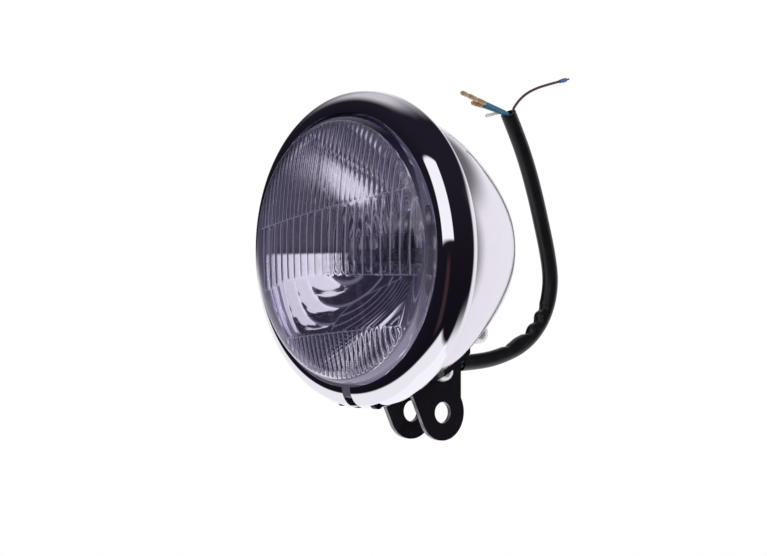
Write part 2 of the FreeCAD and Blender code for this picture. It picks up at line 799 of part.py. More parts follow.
for label, middle in (("dip_filament", dip_y), ("main_filament", main_y)):
    coil = cylinder(d.filament_radius, d.filament_length)
    keep(label, on_lamp(coil, 0, middle - d.filament_length / 2, 0, ALONG_Y))
shield_y = dip_y - d.shield_length / 2
shield_outside = cylinder(d.shield_radius, d.shield_length)
shield_hollow = cylinder(d.shield_radius - d.shield_sheet, d.shield_length)
on_lamp(shield_outside, 0, shield_y, 0, ALONG_Y)
on_lamp(shield_hollow, 0, shield_y, 0, ALONG_Y)
shield_ring = cut(shield_outside, shield_hollow)
upper_half = box(2 * d.shield_radius, d.shield_length, d.shield_radius)
on_lamp(upper_half, -d.shield_radius, shield_y, 0)
keep("dip_shield", cut(shield_ring, upper_half))


def post(x, z, reach):
    """One straight support wire from the bulb's base forward to a distance along the axis."""
    return on_lamp(cylinder(d.post_radius, collar_floor - reach), x, reach, z, ALONG_Y)


def post_arm(x_from, y, length):
    return on_lamp(cylinder(d.post_radius, length), x_from, y, 0, ALONG_X)


arm = d.post_spacing - d.filament_radius
dip_post = fused(post(d.post_spacing, ZERO, dip_y), post_arm(d.filament_radius, dip_y, arm))
main_post = fused(post(-d.post_spacing, ZERO, main_y), post_arm(-d.post_spacing, main_y, arm))
shield_post = post(ZERO, -d.shield_radius - d.post_radius, shield_y)
keep("filament_posts", group(dip_post, main_post, shield_post))

# Wire clip behind the bulb's flange, rubber boot and three-way socket
clip = doc.addObject("Part::Torus", "Clip")
bind(clip, "Radius1", d.clip_radius)
bind(clip, "Radius2", d.clip_wire)
on_lamp(clip, 0, seat + d.bulb_flange_sheet + d.clip_wire, 0, ALONG_Y)
keep("bulb_clip", clip)
lip_in = d.seat_radius + d.slot_clearance
boot_in = d.bulb_body_radius + d.slot_clearance
boot_lip_front = seat - d.boot_lip
boot_bend = seat + d.boot_lip
boot_back = base_back
keep("dust_boot", on_lamp(turned([
    (boot_lip_front, lip_in), (boot_lip_front, lip_in + d.boot_wall), (boot_bend, lip_in + d.boot_wall),
    (boot_back - d.boot_wall, boot_in + d.boot_wall), (boot_back, boot_in + d.boot_wall),
    (boot_back, boot_in), (boot_back - d.boot_lip, boot_in), (boot_bend - d.boot_wall / 2, lip_in)])))
socket_front = boot_back + d.slot_clearance
slot_wide = d.blade_width + 2 * d.slot_clearance
slot_thick = d.blade_sheet + 2 * d.slot_clearance
slot_deep = d.blade_length + d.slot_clearance
socket_block = on_lamp(cylinder(d.socket_radius, d.socket_length), 0, socket_front, 0, ALONG_Y)
side_slot = on_lamp(box(slot_thick, slot_deep, slot_wide), d.blade_offset - d.slot_clearance, base_back,
                    -slot_wide / 2)
top_slot = on_lamp(box(slot_wide, slot_deep, slot_thick), -slot_wide / 2, base_back,
                   d.blade_offset - d.slot_clearance)
keep("bulb_socket", cut(socket_block, side_slot, mirrored(side_slot), top_slot))

# Grommet in the bowl's wire hole
lip_radius_out = d.grommet_hole_radius + d.grommet_lip
neck_radius_out = d.grommet_hole_radius - d.slot_clearance
sheet_in = d.bowl_sheet + 4 * d.slot_clearance
inner_end = -sheet_in - d.grommet_thickness
outer_end = d.grommet_thickness + d.slot_clearance
grommet = turned([
    (inner_end, d.grommet_bore_radius), (inner_end, lip_radius_out), (-sheet_in, lip_radius_out),
    (-sheet_in, neck_radius_out), (d.slot_clearance, neck_radius_out), (d.slot_clearance, lip_radius_out),
    (outer_end, lip_radius_out), (outer_end, d.grommet_bore_radius)])
grommet.Placement = grommet_spot.multiply(Placement(Vector(0, 0, 0), Rotation(Vector(1, 0, 0), 90)))
keep("shell_grommet", grommet)

# Four wires from the socket and the earth screw, through the grommet, to the sleeve's mouth
BUNDLE_BACK_SHARE = 0.52
BUNDLE_LOW_SHARE = 0.38
WIRE_SPREAD = 1.25
socket_back = (socket_front + d.socket_length).value
hole = grommet_spot.Base
out = grommet_spot.Rotation.multVec(Vector(0, 0, 1))
mouth_point = route_point(0, *SLEEVE_ROUTE[0])
mouth_way = (route_point(0, *SLEEVE_ROUTE[1]) - mouth_point).normalize()
nose_inside = inner_curve[3][0].value
behind_socket = nose_inside - socket_back
bundle = [
    lamp_point(0, socket_back, 0),
    lamp_point(0, socket_back + BUNDLE_BACK_SHARE * behind_socket, 0),
    lamp_point(0, socket_back + BUNDLE_LOW_SHARE * behind_socket, -(d.socket_radius + d.bundle_drop).value),
    hole - out * d.bundle_inside.value,
    hole + out * d.bundle_outside.value,
    mouth_point - mouth_way * d.bundle_outside.value,
    mouth_point,
]
spread = WIRE_SPREAD * d.wire_radius.value


def bundle_points(across, start_across, inward):
    """The wires' shared run, moved evenly sideways in its own plane for one wire."""
    moved = []
    for index, point in enumerate(bundle):
        way_in = (point - bundle[index - 1]).normalize() if index else None
        way_out = (bundle[index + 1] - point).normalize() if index + 1 < len(bundle) else None
        way_in = way_in if way_in else way_out
        way_out = way_out if way_out else way_in
        side_in = Vector(0, -way_in.z, way_in.y)
        side_out = Vector(0, -way_out.z, way_out.y)
        shift = (side_in + side_out) * (inward / (1 + side_in.dot(side_out)))
        moved.append(point + Vector(start_across if index < 2 else across, 0, 0) + shift)
    return moved


def socket_wire(across, start_across, inward):
    return shaped(swept(bundle_points(across, start_across, inward), d.wire_radius.value))


keep("main_beam_wire", socket_wire(-spread, -d.blade_offset.value, spread))
keep("dip_beam_wire", socket_wire(spread, d.blade_offset.value, spread))
keep("socket_earth_wire", socket_wire(-spread, 0, -spread))

# Earth screw on the bowl's side with its ring and nut inside


def dome_screw(spot, seat_lift, grip):
    """A dome-head screw standing in a spot, its head seated on a lift above the bowl."""
    height = d.screw_head_height
    half = d.screw_head_radius
    dome = (half * half + height * height) / (2 * height)
    body = turned([
        (ZERO, d.screw_radius), (ZERO, half), (height, ZERO, dome, -1), (-grip, ZERO),
        (-grip, d.screw_radius)])
    body.Placement = spot.multiply(Placement(Vector(0, 0, seat_lift), Rotation(Vector(1, 0, 0), 90)))
    return body


def hex_nut(spot, lift):
    """A plain six-sided nut whose upper face is at a lift from a spot on the bowl."""
    block = doc.addObject("Part::Prism", "Prism")
    block.Polygon = 6
    bind(block, "Circumradius", d.nut_flats / root(Size.of(3)))
    bind(block, "Height", d.nut_height)
    block.Placement = spot.multiply(Placement(Vector(0, 0, lift - d.nut_height.value), Rotation()))
    return cut(block, hole_at(spot, d.screw_radius))


inside = -(d.bowl_sheet + d.inside_gap).value
head_gap = d.seat_gap.value
keep("earth_screw", dome_screw(earth_spot, head_gap, d.screw_length - d.bracket_plate))
ring_plate = cylinder(d.ring_radius, d.ring_sheet)
ring_lift = inside - d.ring_sheet.value
ring_plate.Placement = earth_spot.multiply(Placement(Vector(0, 0, ring_lift), Rotation()))
ring_tongue = box(d.ring_radius, 2 * d.ring_radius, d.ring_sheet)
tongue_corner = Vector(d.ring_radius.value / 2, 0, ring_lift)
ring_tongue.Placement = earth_spot.multiply(Placement(tongue_corner, Rotation(Vector(0, 0, 1), 180)))
keep("earth_ring", cut(fused(ring_plate, ring_tongue), hole_at(earth_spot, screw_hole)))
keep("earth_nut", hex_nut(earth_spot, ring_lift - head_gap / 2))
tongue_end = -2 * d.ring_radius.value - d.earth_wire_gap.value
ring_end = earth_spot.multVec(Vector(0, tongue_end, ring_lift - d.earth_wire_lift.value))
ring_way = earth_spot.Rotation.multVec(Vector(0, -1, 0))
ring_in = earth_spot.Rotation.multVec(Vector(0, 0, -1))
earth_reach = ring_end + ring_way * d.earth_wire_reach.value
shell_bundle = bundle_points(spread, spread, -spread)[3:]
keep("shell_earth_wire", shaped(swept(
    [ring_end, earth_reach + ring_in * d.earth_wire_rise.value,
     earth_reach + ring_way * d.wire_radius.value + ring_in * d.earth_wire_drop.value] + shell_bundle,
    d.wire_radius.value)))

# Two-ear bracket: ears joined by a web that follows the bowl, with a foot out to each side
outer_width = d.bracket_gap + 2 * d.bracket_plate
lean = d.ear_front_angle
head = d.ear_head_radius
tangent_y = -head * cosine(lean)
tangent_z = -head * sine(lean)
rear_z = root(head * head - d.ear_neck * d.ear_neck)
front_top_y = tangent_y - (d.ear_top - tangent_z) * sine(lean) / cosine(lean)
ear_blank = padded("YZ_Plane", [
    (d.ear_neck, d.ear_top), (front_top_y, d.ear_top), (tangent_y, tangent_z), (ZERO, -head, head, 1),
    (d.ear_neck, rear_z, head, 1)], outer_width)
plate_inner = bowl_blank(d.bracket_fit)
plate_outer = bowl_blank(d.bracket_fit + d.bracket_plate)
gap_box = place(box(d.bracket_gap, 4 * head, d.ear_top + 2 * head), -d.bracket_gap / 2, -2.6 * head,
                -1.5 * head)
web_end = place(box(d.bracket_gap, 2 * head, 2 * d.ear_top), -d.bracket_gap / 2, d.web_back, -head)
ears = cut(ear_blank, plate_inner, cut(gap_box, plate_outer), web_end)
foot_box = place(box(2 * d.foot_half_width, d.foot_front + d.foot_back, d.ear_top), -d.foot_half_width,
                 -d.foot_front, 0)
feet = common(foot_box, cut(plate_outer, plate_inner))
bolt_drill = place(cylinder(d.bolt_hole_radius, 2 * outer_width), -outer_width, 0, 0, ALONG_X)
keep("bracket", cut(fused(ears, feet), bolt_drill, foot_drill, mirrored(foot_drill)))
foot_lift = (d.bracket_fit + d.bracket_plate + d.seat_gap / 2).value
foot_screw = dome_screw(foot_spot, foot_lift, d.screw_length)
keep("bracket_screws", group(foot_screw, mirrored(foot_screw)))
foot_nut = hex_nut(foot_spot, inside - head_gap)
keep("bracket_nuts", group(foot_nut, mirrored(foot_nut)))

# Wire sleeve standing up behind the bowl
sleeve_points = [route_point(0, *shares) for shares in SLEEVE_ROUTE]
keep("harness_sleeve", shaped(swept(sleeve_points, d.sleeve_radius.value)))

# Free wire ends and terminals at the sleeve's top
top = sleeve_points[-1]
top_way = (top - sleeve_points[-2]).normalize()
top_side = Vector(0, -top_way.z, top_way.y)
across = Vector(1, 0, 0)


def forward(angle):
    """Direction to the front of the lamp, rising by an angle."""
    return Vector(0, -cosine(angle).value, sine(angle).value)


def spike(start, way, length, radius):
    """A round-ended bullet pin from a point along a direction."""
    way = Vector(way).normalize()
    body = Part.makeCylinder(radius, length - radius, start, way)
    return body.fuse(Part.makeSphere(radius, start + way * (length - radius))).removeSplitter()


def tail_points(side, shift, rise, way, run):
    """A wire's start in the sleeve's mouth, its bend above it and its end."""
    start = top + across * side + top_side * shift.value
    bend = start + top_way * rise.value
    return [start, bend, bend + way * run.value]


long_points = tail_points(d.long_tail_side.value, d.long_tail_shift, d.tail_rise, forward(d.long_tail_angle),
                          d.long_tail_run)
keep("blue_wire_long", shaped(swept(long_points, d.tail_radius.value)))
keep("bullet_terminal_long", shaped(spike(
    long_points[-1], forward(d.long_tail_angle), d.long_bullet_length.value, d.bullet_radius.value)))
short_points = tail_points(-d.short_tail_side.value, d.short_tail_shift, d.tail_rise,
                           forward(d.short_tail_angle), d.short_tail_run)
keep("blue_wire_short", shaped(swept(short_points, d.tail_radius.value)))
keep("bullet_terminal_short", shaped(spike(
    short_points[-1] - across * d.short_bullet_side.value, forward(d.short_tail_angle),
    d.short_bullet_length.value, d.bullet_radius.value)))
clear_way = forward(-d.clear_angle)
clear_points = tail_points(-d.clear_side.value, d.clear_shift, d.clear_rise, clear_way, d.clear_run)
keep("clear_wire", shaped(swept(clear_points, d.clear_radius.value)))
keep("clear_wire_end", shaped(spike(
    clear_points[-1], clear_way, d.clear_end_length.value, d.clear_end_radius.value)))
brown_start = top + across * d.brown_side.value - top_side * d.brown_shift.value
brown_start += top_way * d.brown_rise.value
brown_points = [brown_start] + [route_point(d.brown_side.value, *shares) for shares in BROWN_ROUTE]
keep("brown_wire", shaped(swept(brown_points, d.brown_radius.value)))
brown_way = (brown_points[-1] - brown_points[-2]).normalize()
terminal_tip = brown_points[-1] + brown_way * (d.brown_terminal_length - d.brown_pin_radius).value
terminal = spike(brown_points[-1], brown_way, d.brown_terminal_length.value, d.brown_terminal_radius.value)
pin = spike(terminal_tip, brown_way, d.brown_pin_length.value, d.brown_pin_radius.value)
keep("brown_wire_terminal", shaped(terminal.fuse(pin).removeSplitter()))

doc.recompute()

# Check every object and write each sub-part out
faults = []
for thing in doc.Objects:
    if "Invalid" in thing.State or "Error" in thing.State:
        faults.append("%s %s %s" % (thing.Name, thing.Label, thing.State))
for label, thing in results.items():
    if thing.Shape.isNull() or not thing.Shape.isValid() or not thing.Shape.Solids:
        faults.append("%s has no valid shape" % label)
if faults:
    raise RuntimeError("; ".join(faults))
os.makedirs("parts", exist_ok=True)
for label, thing in results.items():
    thing.Shape.exportStep(os.path.join("parts", label + ".step"))
    print("%-22s %d solids, %.0f cubic millimetres" % (label, len(thing.Shape.Solids), thing.Shape.Volume))
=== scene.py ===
"""Studio picture of a round chrome motorcycle headlight with a fluted glass and a bottom bracket.

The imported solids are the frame. Turned pieces are redrawn as fine surfaces in the same place, the free wires
follow the same routes, and every piece gets its finish. Lengths are in metres.
"""
import json

import bmesh
import bpy
import numpy as np
from mathutils import Matrix, Vector


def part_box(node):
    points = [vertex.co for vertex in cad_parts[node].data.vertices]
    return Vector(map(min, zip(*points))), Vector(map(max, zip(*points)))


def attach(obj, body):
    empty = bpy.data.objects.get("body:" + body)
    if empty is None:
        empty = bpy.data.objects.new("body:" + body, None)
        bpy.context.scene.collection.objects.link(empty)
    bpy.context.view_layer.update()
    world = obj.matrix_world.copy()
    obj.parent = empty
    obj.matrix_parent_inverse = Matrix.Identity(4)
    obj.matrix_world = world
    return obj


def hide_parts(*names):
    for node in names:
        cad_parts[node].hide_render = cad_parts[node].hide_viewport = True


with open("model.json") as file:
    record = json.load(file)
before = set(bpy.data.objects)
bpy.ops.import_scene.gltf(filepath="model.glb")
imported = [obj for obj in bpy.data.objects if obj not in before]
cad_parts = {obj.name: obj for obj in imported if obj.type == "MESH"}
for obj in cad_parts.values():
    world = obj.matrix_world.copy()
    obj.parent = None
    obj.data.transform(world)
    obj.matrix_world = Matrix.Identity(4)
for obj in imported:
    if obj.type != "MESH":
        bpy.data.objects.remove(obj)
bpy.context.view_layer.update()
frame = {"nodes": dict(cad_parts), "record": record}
nodes = frame["nodes"]

MM = 0.001
TAU = 2 * np.pi
DEGREES = 180 / np.pi
MERGE_DISTANCE = 2e-6
SHARP_ANGLE = 35.0

# Places read from the frame
rim_low, rim_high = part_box("rim")
RIM_RADIUS = (rim_high[0] - rim_low[0]) / 2
AXIS_HEIGHT = rim_high[2] - RIM_RADIUS
RIM_FRONT_ROUND = 11.0 * MM
RIM_CROWN_FRONT = 2.0 * MM
CREST_Y = rim_low[1] + RIM_FRONT_ROUND + RIM_CROWN_FRONT


def rows_of(*parts):
    """One array of points from several arrays or single points."""
    return np.vstack([np.atleast_2d(np.asarray(part, float)) for part in parts])


def arc(centre_y, centre_r, radius, start, stop, steps):
    """Points on a circle in y and r: the angle is counted from the radial direction towards the rear."""
    angle = np.radians(np.linspace(start, stop, steps))
    return np.column_stack([centre_y + radius * np.sin(angle), centre_r + radius * np.cos(angle)])


def quads(rows, columns, close_rows=False, close_columns=False):
    """Corner numbers of the cells of a grid, wrapped round where a side is closed."""
    row = np.arange(rows if close_rows else rows - 1)
    column = np.arange(columns if close_columns else columns - 1)
    row, column = np.meshgrid(row, column, indexing="ij")
    next_row = (row + 1) % rows
    next_column = (column + 1) % columns
    corners = [row * columns + column, row * columns + next_column,
               next_row * columns + next_column, next_row * columns + column]
    return np.stack([corner.ravel() for corner in corners], axis=1)


def piece(name, points, faces, finish, sharp=SHARP_ANGLE):
    """A mesh object from points and faces, its doubles merged, its faces turned outwards and smoothed."""
    mesh = bpy.data.meshes.new(name)
    mesh.from_pydata(np.asarray(points).reshape(-1, 3).tolist(), [], np.asarray(faces).tolist())
    work = bmesh.new()
    work.from_mesh(mesh)
    bmesh.ops.remove_doubles(work, verts=work.verts, dist=MERGE_DISTANCE)
    bmesh.ops.recalc_face_normals(work, faces=work.faces)
    work.to_mesh(mesh)
    work.free()
    mesh.shade_smooth()
    mesh.set_sharp_from_angle(angle=np.radians(sharp))
    made = bpy.data.objects.new(name, mesh)
    bpy.context.scene.collection.objects.link(made)
    if finish:
        mesh.materials.append(finish)
    return made


def join_grids(*grids):
    """Several (points, faces) pairs as one pair."""
    points = []
    faces = []
    count = 0
    for part, cells in grids:
        part = np.asarray(part).reshape(-1, 3)
        points.append(part)
        faces.append(np.asarray(cells) + count)
        count += len(part)
    return np.vstack(points), np.vstack(faces)


def on_lamp(x, y, z):
    """Points measured from the lamp axis and the rim's widest circle, put into the frame."""
    return np.stack(np.broadcast_arrays(x, y + CREST_Y, z + AXIS_HEIGHT), axis=-1)


def turned(profile, steps):
    """A closed outline in y and r turned about the lamp axis: x = r sin t, z = r cos t, t a full turn."""
    turn = np.arange(steps) * TAU / steps
    y = profile[:, 0][:, None]
    r = profile[:, 1][:, None]
    points = on_lamp(r * np.sin(turn), y, r * np.cos(turn))
    return points, quads(len(profile), steps, True, True)


def turned_on(profile, foot, way, steps):
    """An outline in height and radius turned about a line from a foot point along a direction."""
    way = Vector(way).normalized()
    side = np.array(way.orthogonal().normalized())
    axis = np.array(way)
    across = np.cross(axis, side)
    turn = np.arange(steps) * TAU / steps
    height = profile[:, 0][:, None, None]
    radius = profile[:, 1][:, None, None]
    ring = side * np.cos(turn)[:, None] + across * np.sin(turn)[:, None]
    points = np.array(foot) + axis * height + ring[None] * radius
    return points, quads(len(profile), steps, False, True)


def cut_with(target, *tools):
    """Take the tools' volume out of the target and throw the tools away."""
    for tool in tools:
        change = target.modifiers.new("opening", "BOOLEAN")
        change.operation = "DIFFERENCE"
        change.solver = "EXACT"
        change.object = tool
        view = bpy.context.evaluated_depsgraph_get()
        cut = bpy.data.meshes.new_from_object(target.evaluated_get(view))
        target.modifiers.clear()
        target.data = cut
        bpy.data.objects.remove(tool)
    target.data.shade_smooth()
    target.data.set_sharp_from_angle(angle=np.radians(SHARP_ANGLE))
    return target


class Wire:
    """A value on its way through the nodes; arithmetic on it adds Math nodes."""

    def __init__(self, board, socket):
        self.board = board
        self.socket = socket

    def math(self, operation, *values):
        return self.board.node("ShaderNodeMath", {"operation": operation}, dict(enumerate(values)))

    def __add__(self, other):
        return self.math("ADD", self, other)

    __radd__ = __add__

    def __sub__(self, other):
        return self.math("SUBTRACT", self, other)

    def __rsub__(self, other):
        return self.math("SUBTRACT", other, self)

    def __mul__(self, other):
        return self.math("MULTIPLY", self, other)

    __rmul__ = __mul__

    def __truediv__(self, other):
        return self.math("DIVIDE", self, other)

    def step(self, low, high):
        """0 below low, 1 above high and a smooth rise between."""
        return self.board.node("ShaderNodeMapRange", {"interpolation_type": "SMOOTHSTEP"},
                               {"Value": self, "From Min": low, "From Max": high})


class Board:
    """The nodes of one material or of the world."""

    def __init__(self, tree):
        self.tree = tree
        tree.nodes.clear()

    def node(self, kind, settings=None, inputs=None, output=0):
        """Add a node: its settings first, then the values or links of its sockets.

        Gives the named output, or one for each name.
        """
        made = self.tree.nodes.new(kind)
        for key, value in (settings or {}).items():
            setattr(made, key, value)
        for key, value in (inputs or {}).items():
            if isinstance(value, Wire):
                self.tree.links.new(value.socket, made.inputs[key])
            else:
                made.inputs[key].default_value = value
        if isinstance(output, tuple):
            return [Wire(self, made.outputs[name]) for name in output]
        return Wire(self, made.outputs[output]) if len(made.outputs) else None

    def place(self):
        return self.node("ShaderNodeTexCoord", output="Object")

    def noise(self, scale, detail=3.0, stretch=(1, 1, 1), where=None):
        """Even noise on the piece's own place, with a size per metre and an optional stretch."""
        at = self.node("ShaderNodeMapping", {}, {"Vector": where or self.place(), "Scale": stretch})
        return self.node("ShaderNodeTexNoise", {}, {"Vector": at, "Scale": scale, "Detail": detail})

    def part_of_place(self, axis):
        return self.node("ShaderNodeSeparateXYZ", {}, {0: self.place()}, output=axis)

    def from_axis(self):
        """How far a point lies from the lamp's axis."""
        spot = self.node("ShaderNodeVectorMath", {"operation": "SUBTRACT"},
                         {0: self.place(), 1: (0, 0, AXIS_HEIGHT)})
        flat = self.node("ShaderNodeVectorMath", {"operation": "MULTIPLY"}, {0: spot, 1: (1, 0, 1)})
        return self.node("ShaderNodeVectorMath", {"operation": "LENGTH"}, {0: flat}, output="Value")

    def blend(self, factor, first, second):
        return self.node("ShaderNodeMix", {"data_type": "RGBA"}, {0: factor, 6: first, 7: second}, output=2)

    def bump(self, height, strength, distance):
        return self.node("ShaderNodeBump", {}, {"Height": height, "Strength": strength, "Distance": distance})


def rgba(red, green, blue):
    return (red, green, blue, 1.0)


def finish_of(name, build):
    """A material whose shader sockets come from a build function on its board."""
    made = bpy.data.materials.new(name)
    made.use_nodes = True
    board = Board(made.node_tree)
    shader = board.node("ShaderNodeBsdfPrincipled", {}, build(board))
    board.node("ShaderNodeOutputMaterial", {}, {"Surface": shader})
    return made


def mottled(first, second, size, detail, rough, rougher, metallic=0.0, dent=None):
    """Finish that drifts between two colours with even noise, and grows rougher and dented with it."""
    def build(board):
        cloud = board.noise(size, detail)
        sockets = {"Base Color": board.blend(cloud, rgba(*first), rgba(*second)), "Metallic": metallic,
                   "Roughness": rough + rougher * cloud}
        if dent:
            sockets["Normal"] = board.bump(cloud, *dent)
        return sockets
    return build


def wire_cover(colour, pale):
    """Coloured wire cover, mottled a little towards a paler shade."""
    return mottled(colour, pale, size=500.0, detail=4.0, rough=0.3, rougher=0.2, dent=(0.03, 0.0002))


BOWL_START = -33 * MM
BOWL_FADE = 2 * MM
BOWL_MATT = 0.16
BOWL_ROUGHER = 0.10


def chrome_plate(board):
    """Mirror plate: faint cloudy polishing on the smooth rim, a softer shine on the bowl behind it."""
    cloud = board.noise(22.0, 4.0)
    wipe = board.noise(160.0, 2.0, (1, 1, 0.12))
    bowl = board.part_of_place("Y").step(BOWL_START, BOWL_START + BOWL_FADE)
    rim_tone = board.blend(cloud, rgba(0.90, 0.895, 0.93), rgba(0.95, 0.94, 0.975))
    return {"Base Color": board.blend(bowl, rim_tone, rgba(0.915, 0.88, 0.955)),
            "Metallic": 1 - BOWL_MATT * bowl,
            "Roughness": 0.018 + 0.03 * cloud * wipe + BOWL_ROUGHER * bowl}


def dark_screw(board):
    """Blackened screw steel, worn bright here and there."""
    wear = board.noise(700.0, 4.0).step(0.58, 0.72)
    return {"Base Color": board.blend(wear, rgba(0.03, 0.03, 0.035), rgba(0.35, 0.34, 0.34)), "Metallic": 0.9,
            "Roughness": 0.35 - 0.1 * wear}


# Domed glass and its flutes
LENS_FRONT = 28.5 * MM
LENS_DOME = 249.9 * MM
LENS_GLASS = 3.6 * MM
LENS_SKIRT = 68.6 * MM
LENS_FLANGE = 75.5 * MM
LENS_BACK = -4.5 * MM
LENS_SHELF = -9.9 * MM
LENS_EDGE_ROUND = 10.0 * MM
FLUTE_FIELD = 64.0 * MM
FLUTE_FIELD_HALF = 59.0 * MM
FINE_PITCH = 3.6 * MM
FINE_DEPTH = 0.26 * MM
COARSE_PITCH = 6.0 * MM
COARSE_DEPTH = 0.32 * MM
FLUTE_BORDER = 0.5 * MM
BAND_TOP = 21.0 * MM
BAND_TOP_SLOPE = 0.175
BAND_LOW = 12.4 * MM
BAND_LOW_SLOPE = -0.096
BAND_LEFT_LOW = 7.4 * MM
BAND_LEFT_SLOPE = -0.242
WINDOW_LOW = 42.0 * MM
WINDOW_SLOPE = 0.0875
# Painted shoulder glow: radii between which it rises towards the glass's edge, and heights between which it
# fades out above
GLASS_CLEAR = 60.5 * MM
GLASS_EDGE = 66.0 * MM
SHOULDER_LIGHT_LOW = 30.0 * MM
SHOULDER_LIGHT_TOP = 150.0 * MM
# Painted flute highlights: where a ridge's highlight starts across a flute, the lit core of a border line and
# its share, and the fade at the flute field's edge
RIDGE_START = 0.72
BORDER_CORE = 0.1 * MM
BORDER_SHARE = 0.6
FIELD_FADE = 4.0 * MM


def flute_borders(x, z, larger):
    """How far a point lies above the coarse band's top, its low edge and the clear window's low edge."""
    low_edge = larger(BAND_LOW + x * BAND_LOW_SLOPE, BAND_LEFT_LOW + x * BAND_LEFT_SLOPE)
    low_edge = larger(low_edge, BAND_LOW)
    return z - BAND_TOP - x * BAND_TOP_SLOPE, z + low_edge, z + WINDOW_LOW - x * WINDOW_SLOPE


def painted_flute_glints(board):
    """Painted highlights: an emission mask on the rounded ridges between the flutes and along their bands'
    borders, inside the glass.
    """
    x = board.part_of_place("X")
    z = board.part_of_place("Z") - AXIS_HEIGHT
    top, low, window = flute_borders(x, z, lambda first, second: x.math("MAXIMUM", first, second))

    def ridges(pitch):
        across = x.math("FRACT", x / pitch + 0.5) * 2 - 1
        return across.math("ABSOLUTE", across).step(RIDGE_START, 1.0)

    def border(gap):
        return 1 - gap.math("ABSOLUTE", gap).step(BORDER_CORE, FLUTE_BORDER)

    fine = ridges(FINE_PITCH) * (top.step(0, FLUTE_BORDER) + 1 - window.step(-FLUTE_BORDER, 0))
    coarse = ridges(COARSE_PITCH) * (1 - top.step(-FLUTE_BORDER, 0)) * low.step(0, FLUTE_BORDER)
    lines = fine + coarse + BORDER_SHARE * (border(top) + border(low) + border(window))
    field = 1 - board.from_axis().step(FLUTE_FIELD - FIELD_FADE, FLUTE_FIELD)
    return lines * field * board.node("ShaderNodeAttribute", {"attribute_name": "inner_face"}, output="Fac")


def lens_glass(board):
    """Pressed clear glass with a cold lilac cast, a painted glow (emission) on its lower shoulder and painted
    highlights on its ridges.
    """
    ripple = board.noise(60.0, 2.0)
    # Painted glow: emission on the lower shoulder of the glass, near its edge
    low = 1 - board.part_of_place("Z").step(SHOULDER_LIGHT_LOW, SHOULDER_LIGHT_TOP)
    shoulder = board.from_axis().step(GLASS_CLEAR, GLASS_EDGE) * low
    painted_edge_glow = board.blend(shoulder, rgba(0.001, 0.001, 0.003), rgba(0.034, 0.031, 0.044))
    # Emission colour: the painted edge glow, with the painted flute highlights blended over it
    return {"Base Color": rgba(0.95, 0.94, 0.985), "Roughness": 0.0, "IOR": 1.5, "Transmission Weight": 1.0,
            "Normal": board.bump(ripple, 0.02, 0.0006), "Emission Strength": 1.0,
            "Emission Color": board.blend(painted_flute_glints(board), painted_edge_glow, rgba(0.140, 0.130, 0.180))}


def bulb_envelope(board):
    ripple = board.noise(90.0, 2.0)
    return {"Base Color": rgba(0.97, 0.97, 0.98), "Roughness": 0.0, "IOR": 1.46, "Transmission Weight": 1.0,
            "Normal": board.bump(ripple, 0.05, 0.0004)}


# The ears' cut edges below the feet are lightened in patches: partly wear, partly a painted edge highlight
EAR_INSIDE = 11.0 * MM
EAR_OUTSIDE = 13.5 * MM
EAR_EDGE_BAND = 0.3 * MM
EAR_EDGE_MARK_TOP = 18.0 * MM
EAR_EDGE_MARK_FADE = 4.0 * MM


def black_paint(board):
    """Glossy black paint on pressed steel: orange peel, a few dull specks, and the ears' cut edges lightened
    in patches, partly as wear and partly as a painted highlight.
    """
    peel = board.noise(900.0, 2.0)
    speck = board.noise(1500.0, 4.0).step(0.62, 0.75)
    side = board.part_of_place("X")
    side = side.math("ABSOLUTE", side)
    # Lightened cut edges on the ears: wear and a painted edge highlight
    within = side.step(EAR_INSIDE, EAR_INSIDE + EAR_EDGE_BAND)
    within = within * (1 - side.step(EAR_OUTSIDE - EAR_EDGE_BAND, EAR_OUTSIDE))
    below_feet = 1 - board.part_of_place("Z").step(EAR_EDGE_MARK_TOP, EAR_EDGE_MARK_TOP + EAR_EDGE_MARK_FADE)
    edge_wear_and_highlight = within * below_feet * board.noise(300.0, 3.0).step(0.25, 0.6)
    paint = board.blend(speck, rgba(0.008, 0.007, 0.010), rgba(0.03, 0.03, 0.03))
    return {"Base Color": board.blend(edge_wear_and_highlight, paint, rgba(0.22, 0.21, 0.24)), "Roughness": 0.16 + 0.2 * speck,
            "Coat Weight": 0.4, "Normal": board.bump(peel, 0.12, 0.0003)}


def sleeve_tube(board):
    """Soft black tube: fine drawn lines along it and small dull patches."""
    patch = board.noise(180.0, 4.0)
    fine = board.noise(2500.0, 2.0)
    return {"Base Color": board.blend(patch, rgba(0.004, 0.0035, 0.005), rgba(0.010, 0.009, 0.012)),
            "Roughness": 0.22 + 0.2 * patch, "Normal": board.bump(fine * 0.3 + patch, 0.15, 0.0004)}


PIN_START = 98.7 * MM
PIN_FADE = 0.1 * MM


def terminal_cover(board):
    """Blue cover with a paler mottle, and the dark pin that stands out of its end."""
    mottle = board.noise(500.0, 4.0)
    pin = board.part_of_place("Y").step(PIN_START, PIN_START + PIN_FADE)
    cover = board.blend(mottle, rgba(0.05, 0.10, 0.29), rgba(0.10, 0.17, 0.40))
    return {"Base Color": board.blend(pin, cover, rgba(0.02, 0.018, 0.016)), "Roughness": 0.35 + 0.2 * mottle}


def bare_brass(board):
    """Bare brass with a light tarnish that follows its turned marks."""
    tarnish = board.noise(260.0, 4.0).step(0.3, 0.75)
    turning = board.noise(3000.0, 2.0)
    colour = board.blend(tarnish, rgba(0.66, 0.50, 0.30), rgba(0.50, 0.30, 0.19))
    return {"Base Color": colour, "Metallic": 0.6, "Roughness": 0.38 + 0.15 * tarnish,
            "Normal": board.bump(turning, 0.03, 0.0002)}


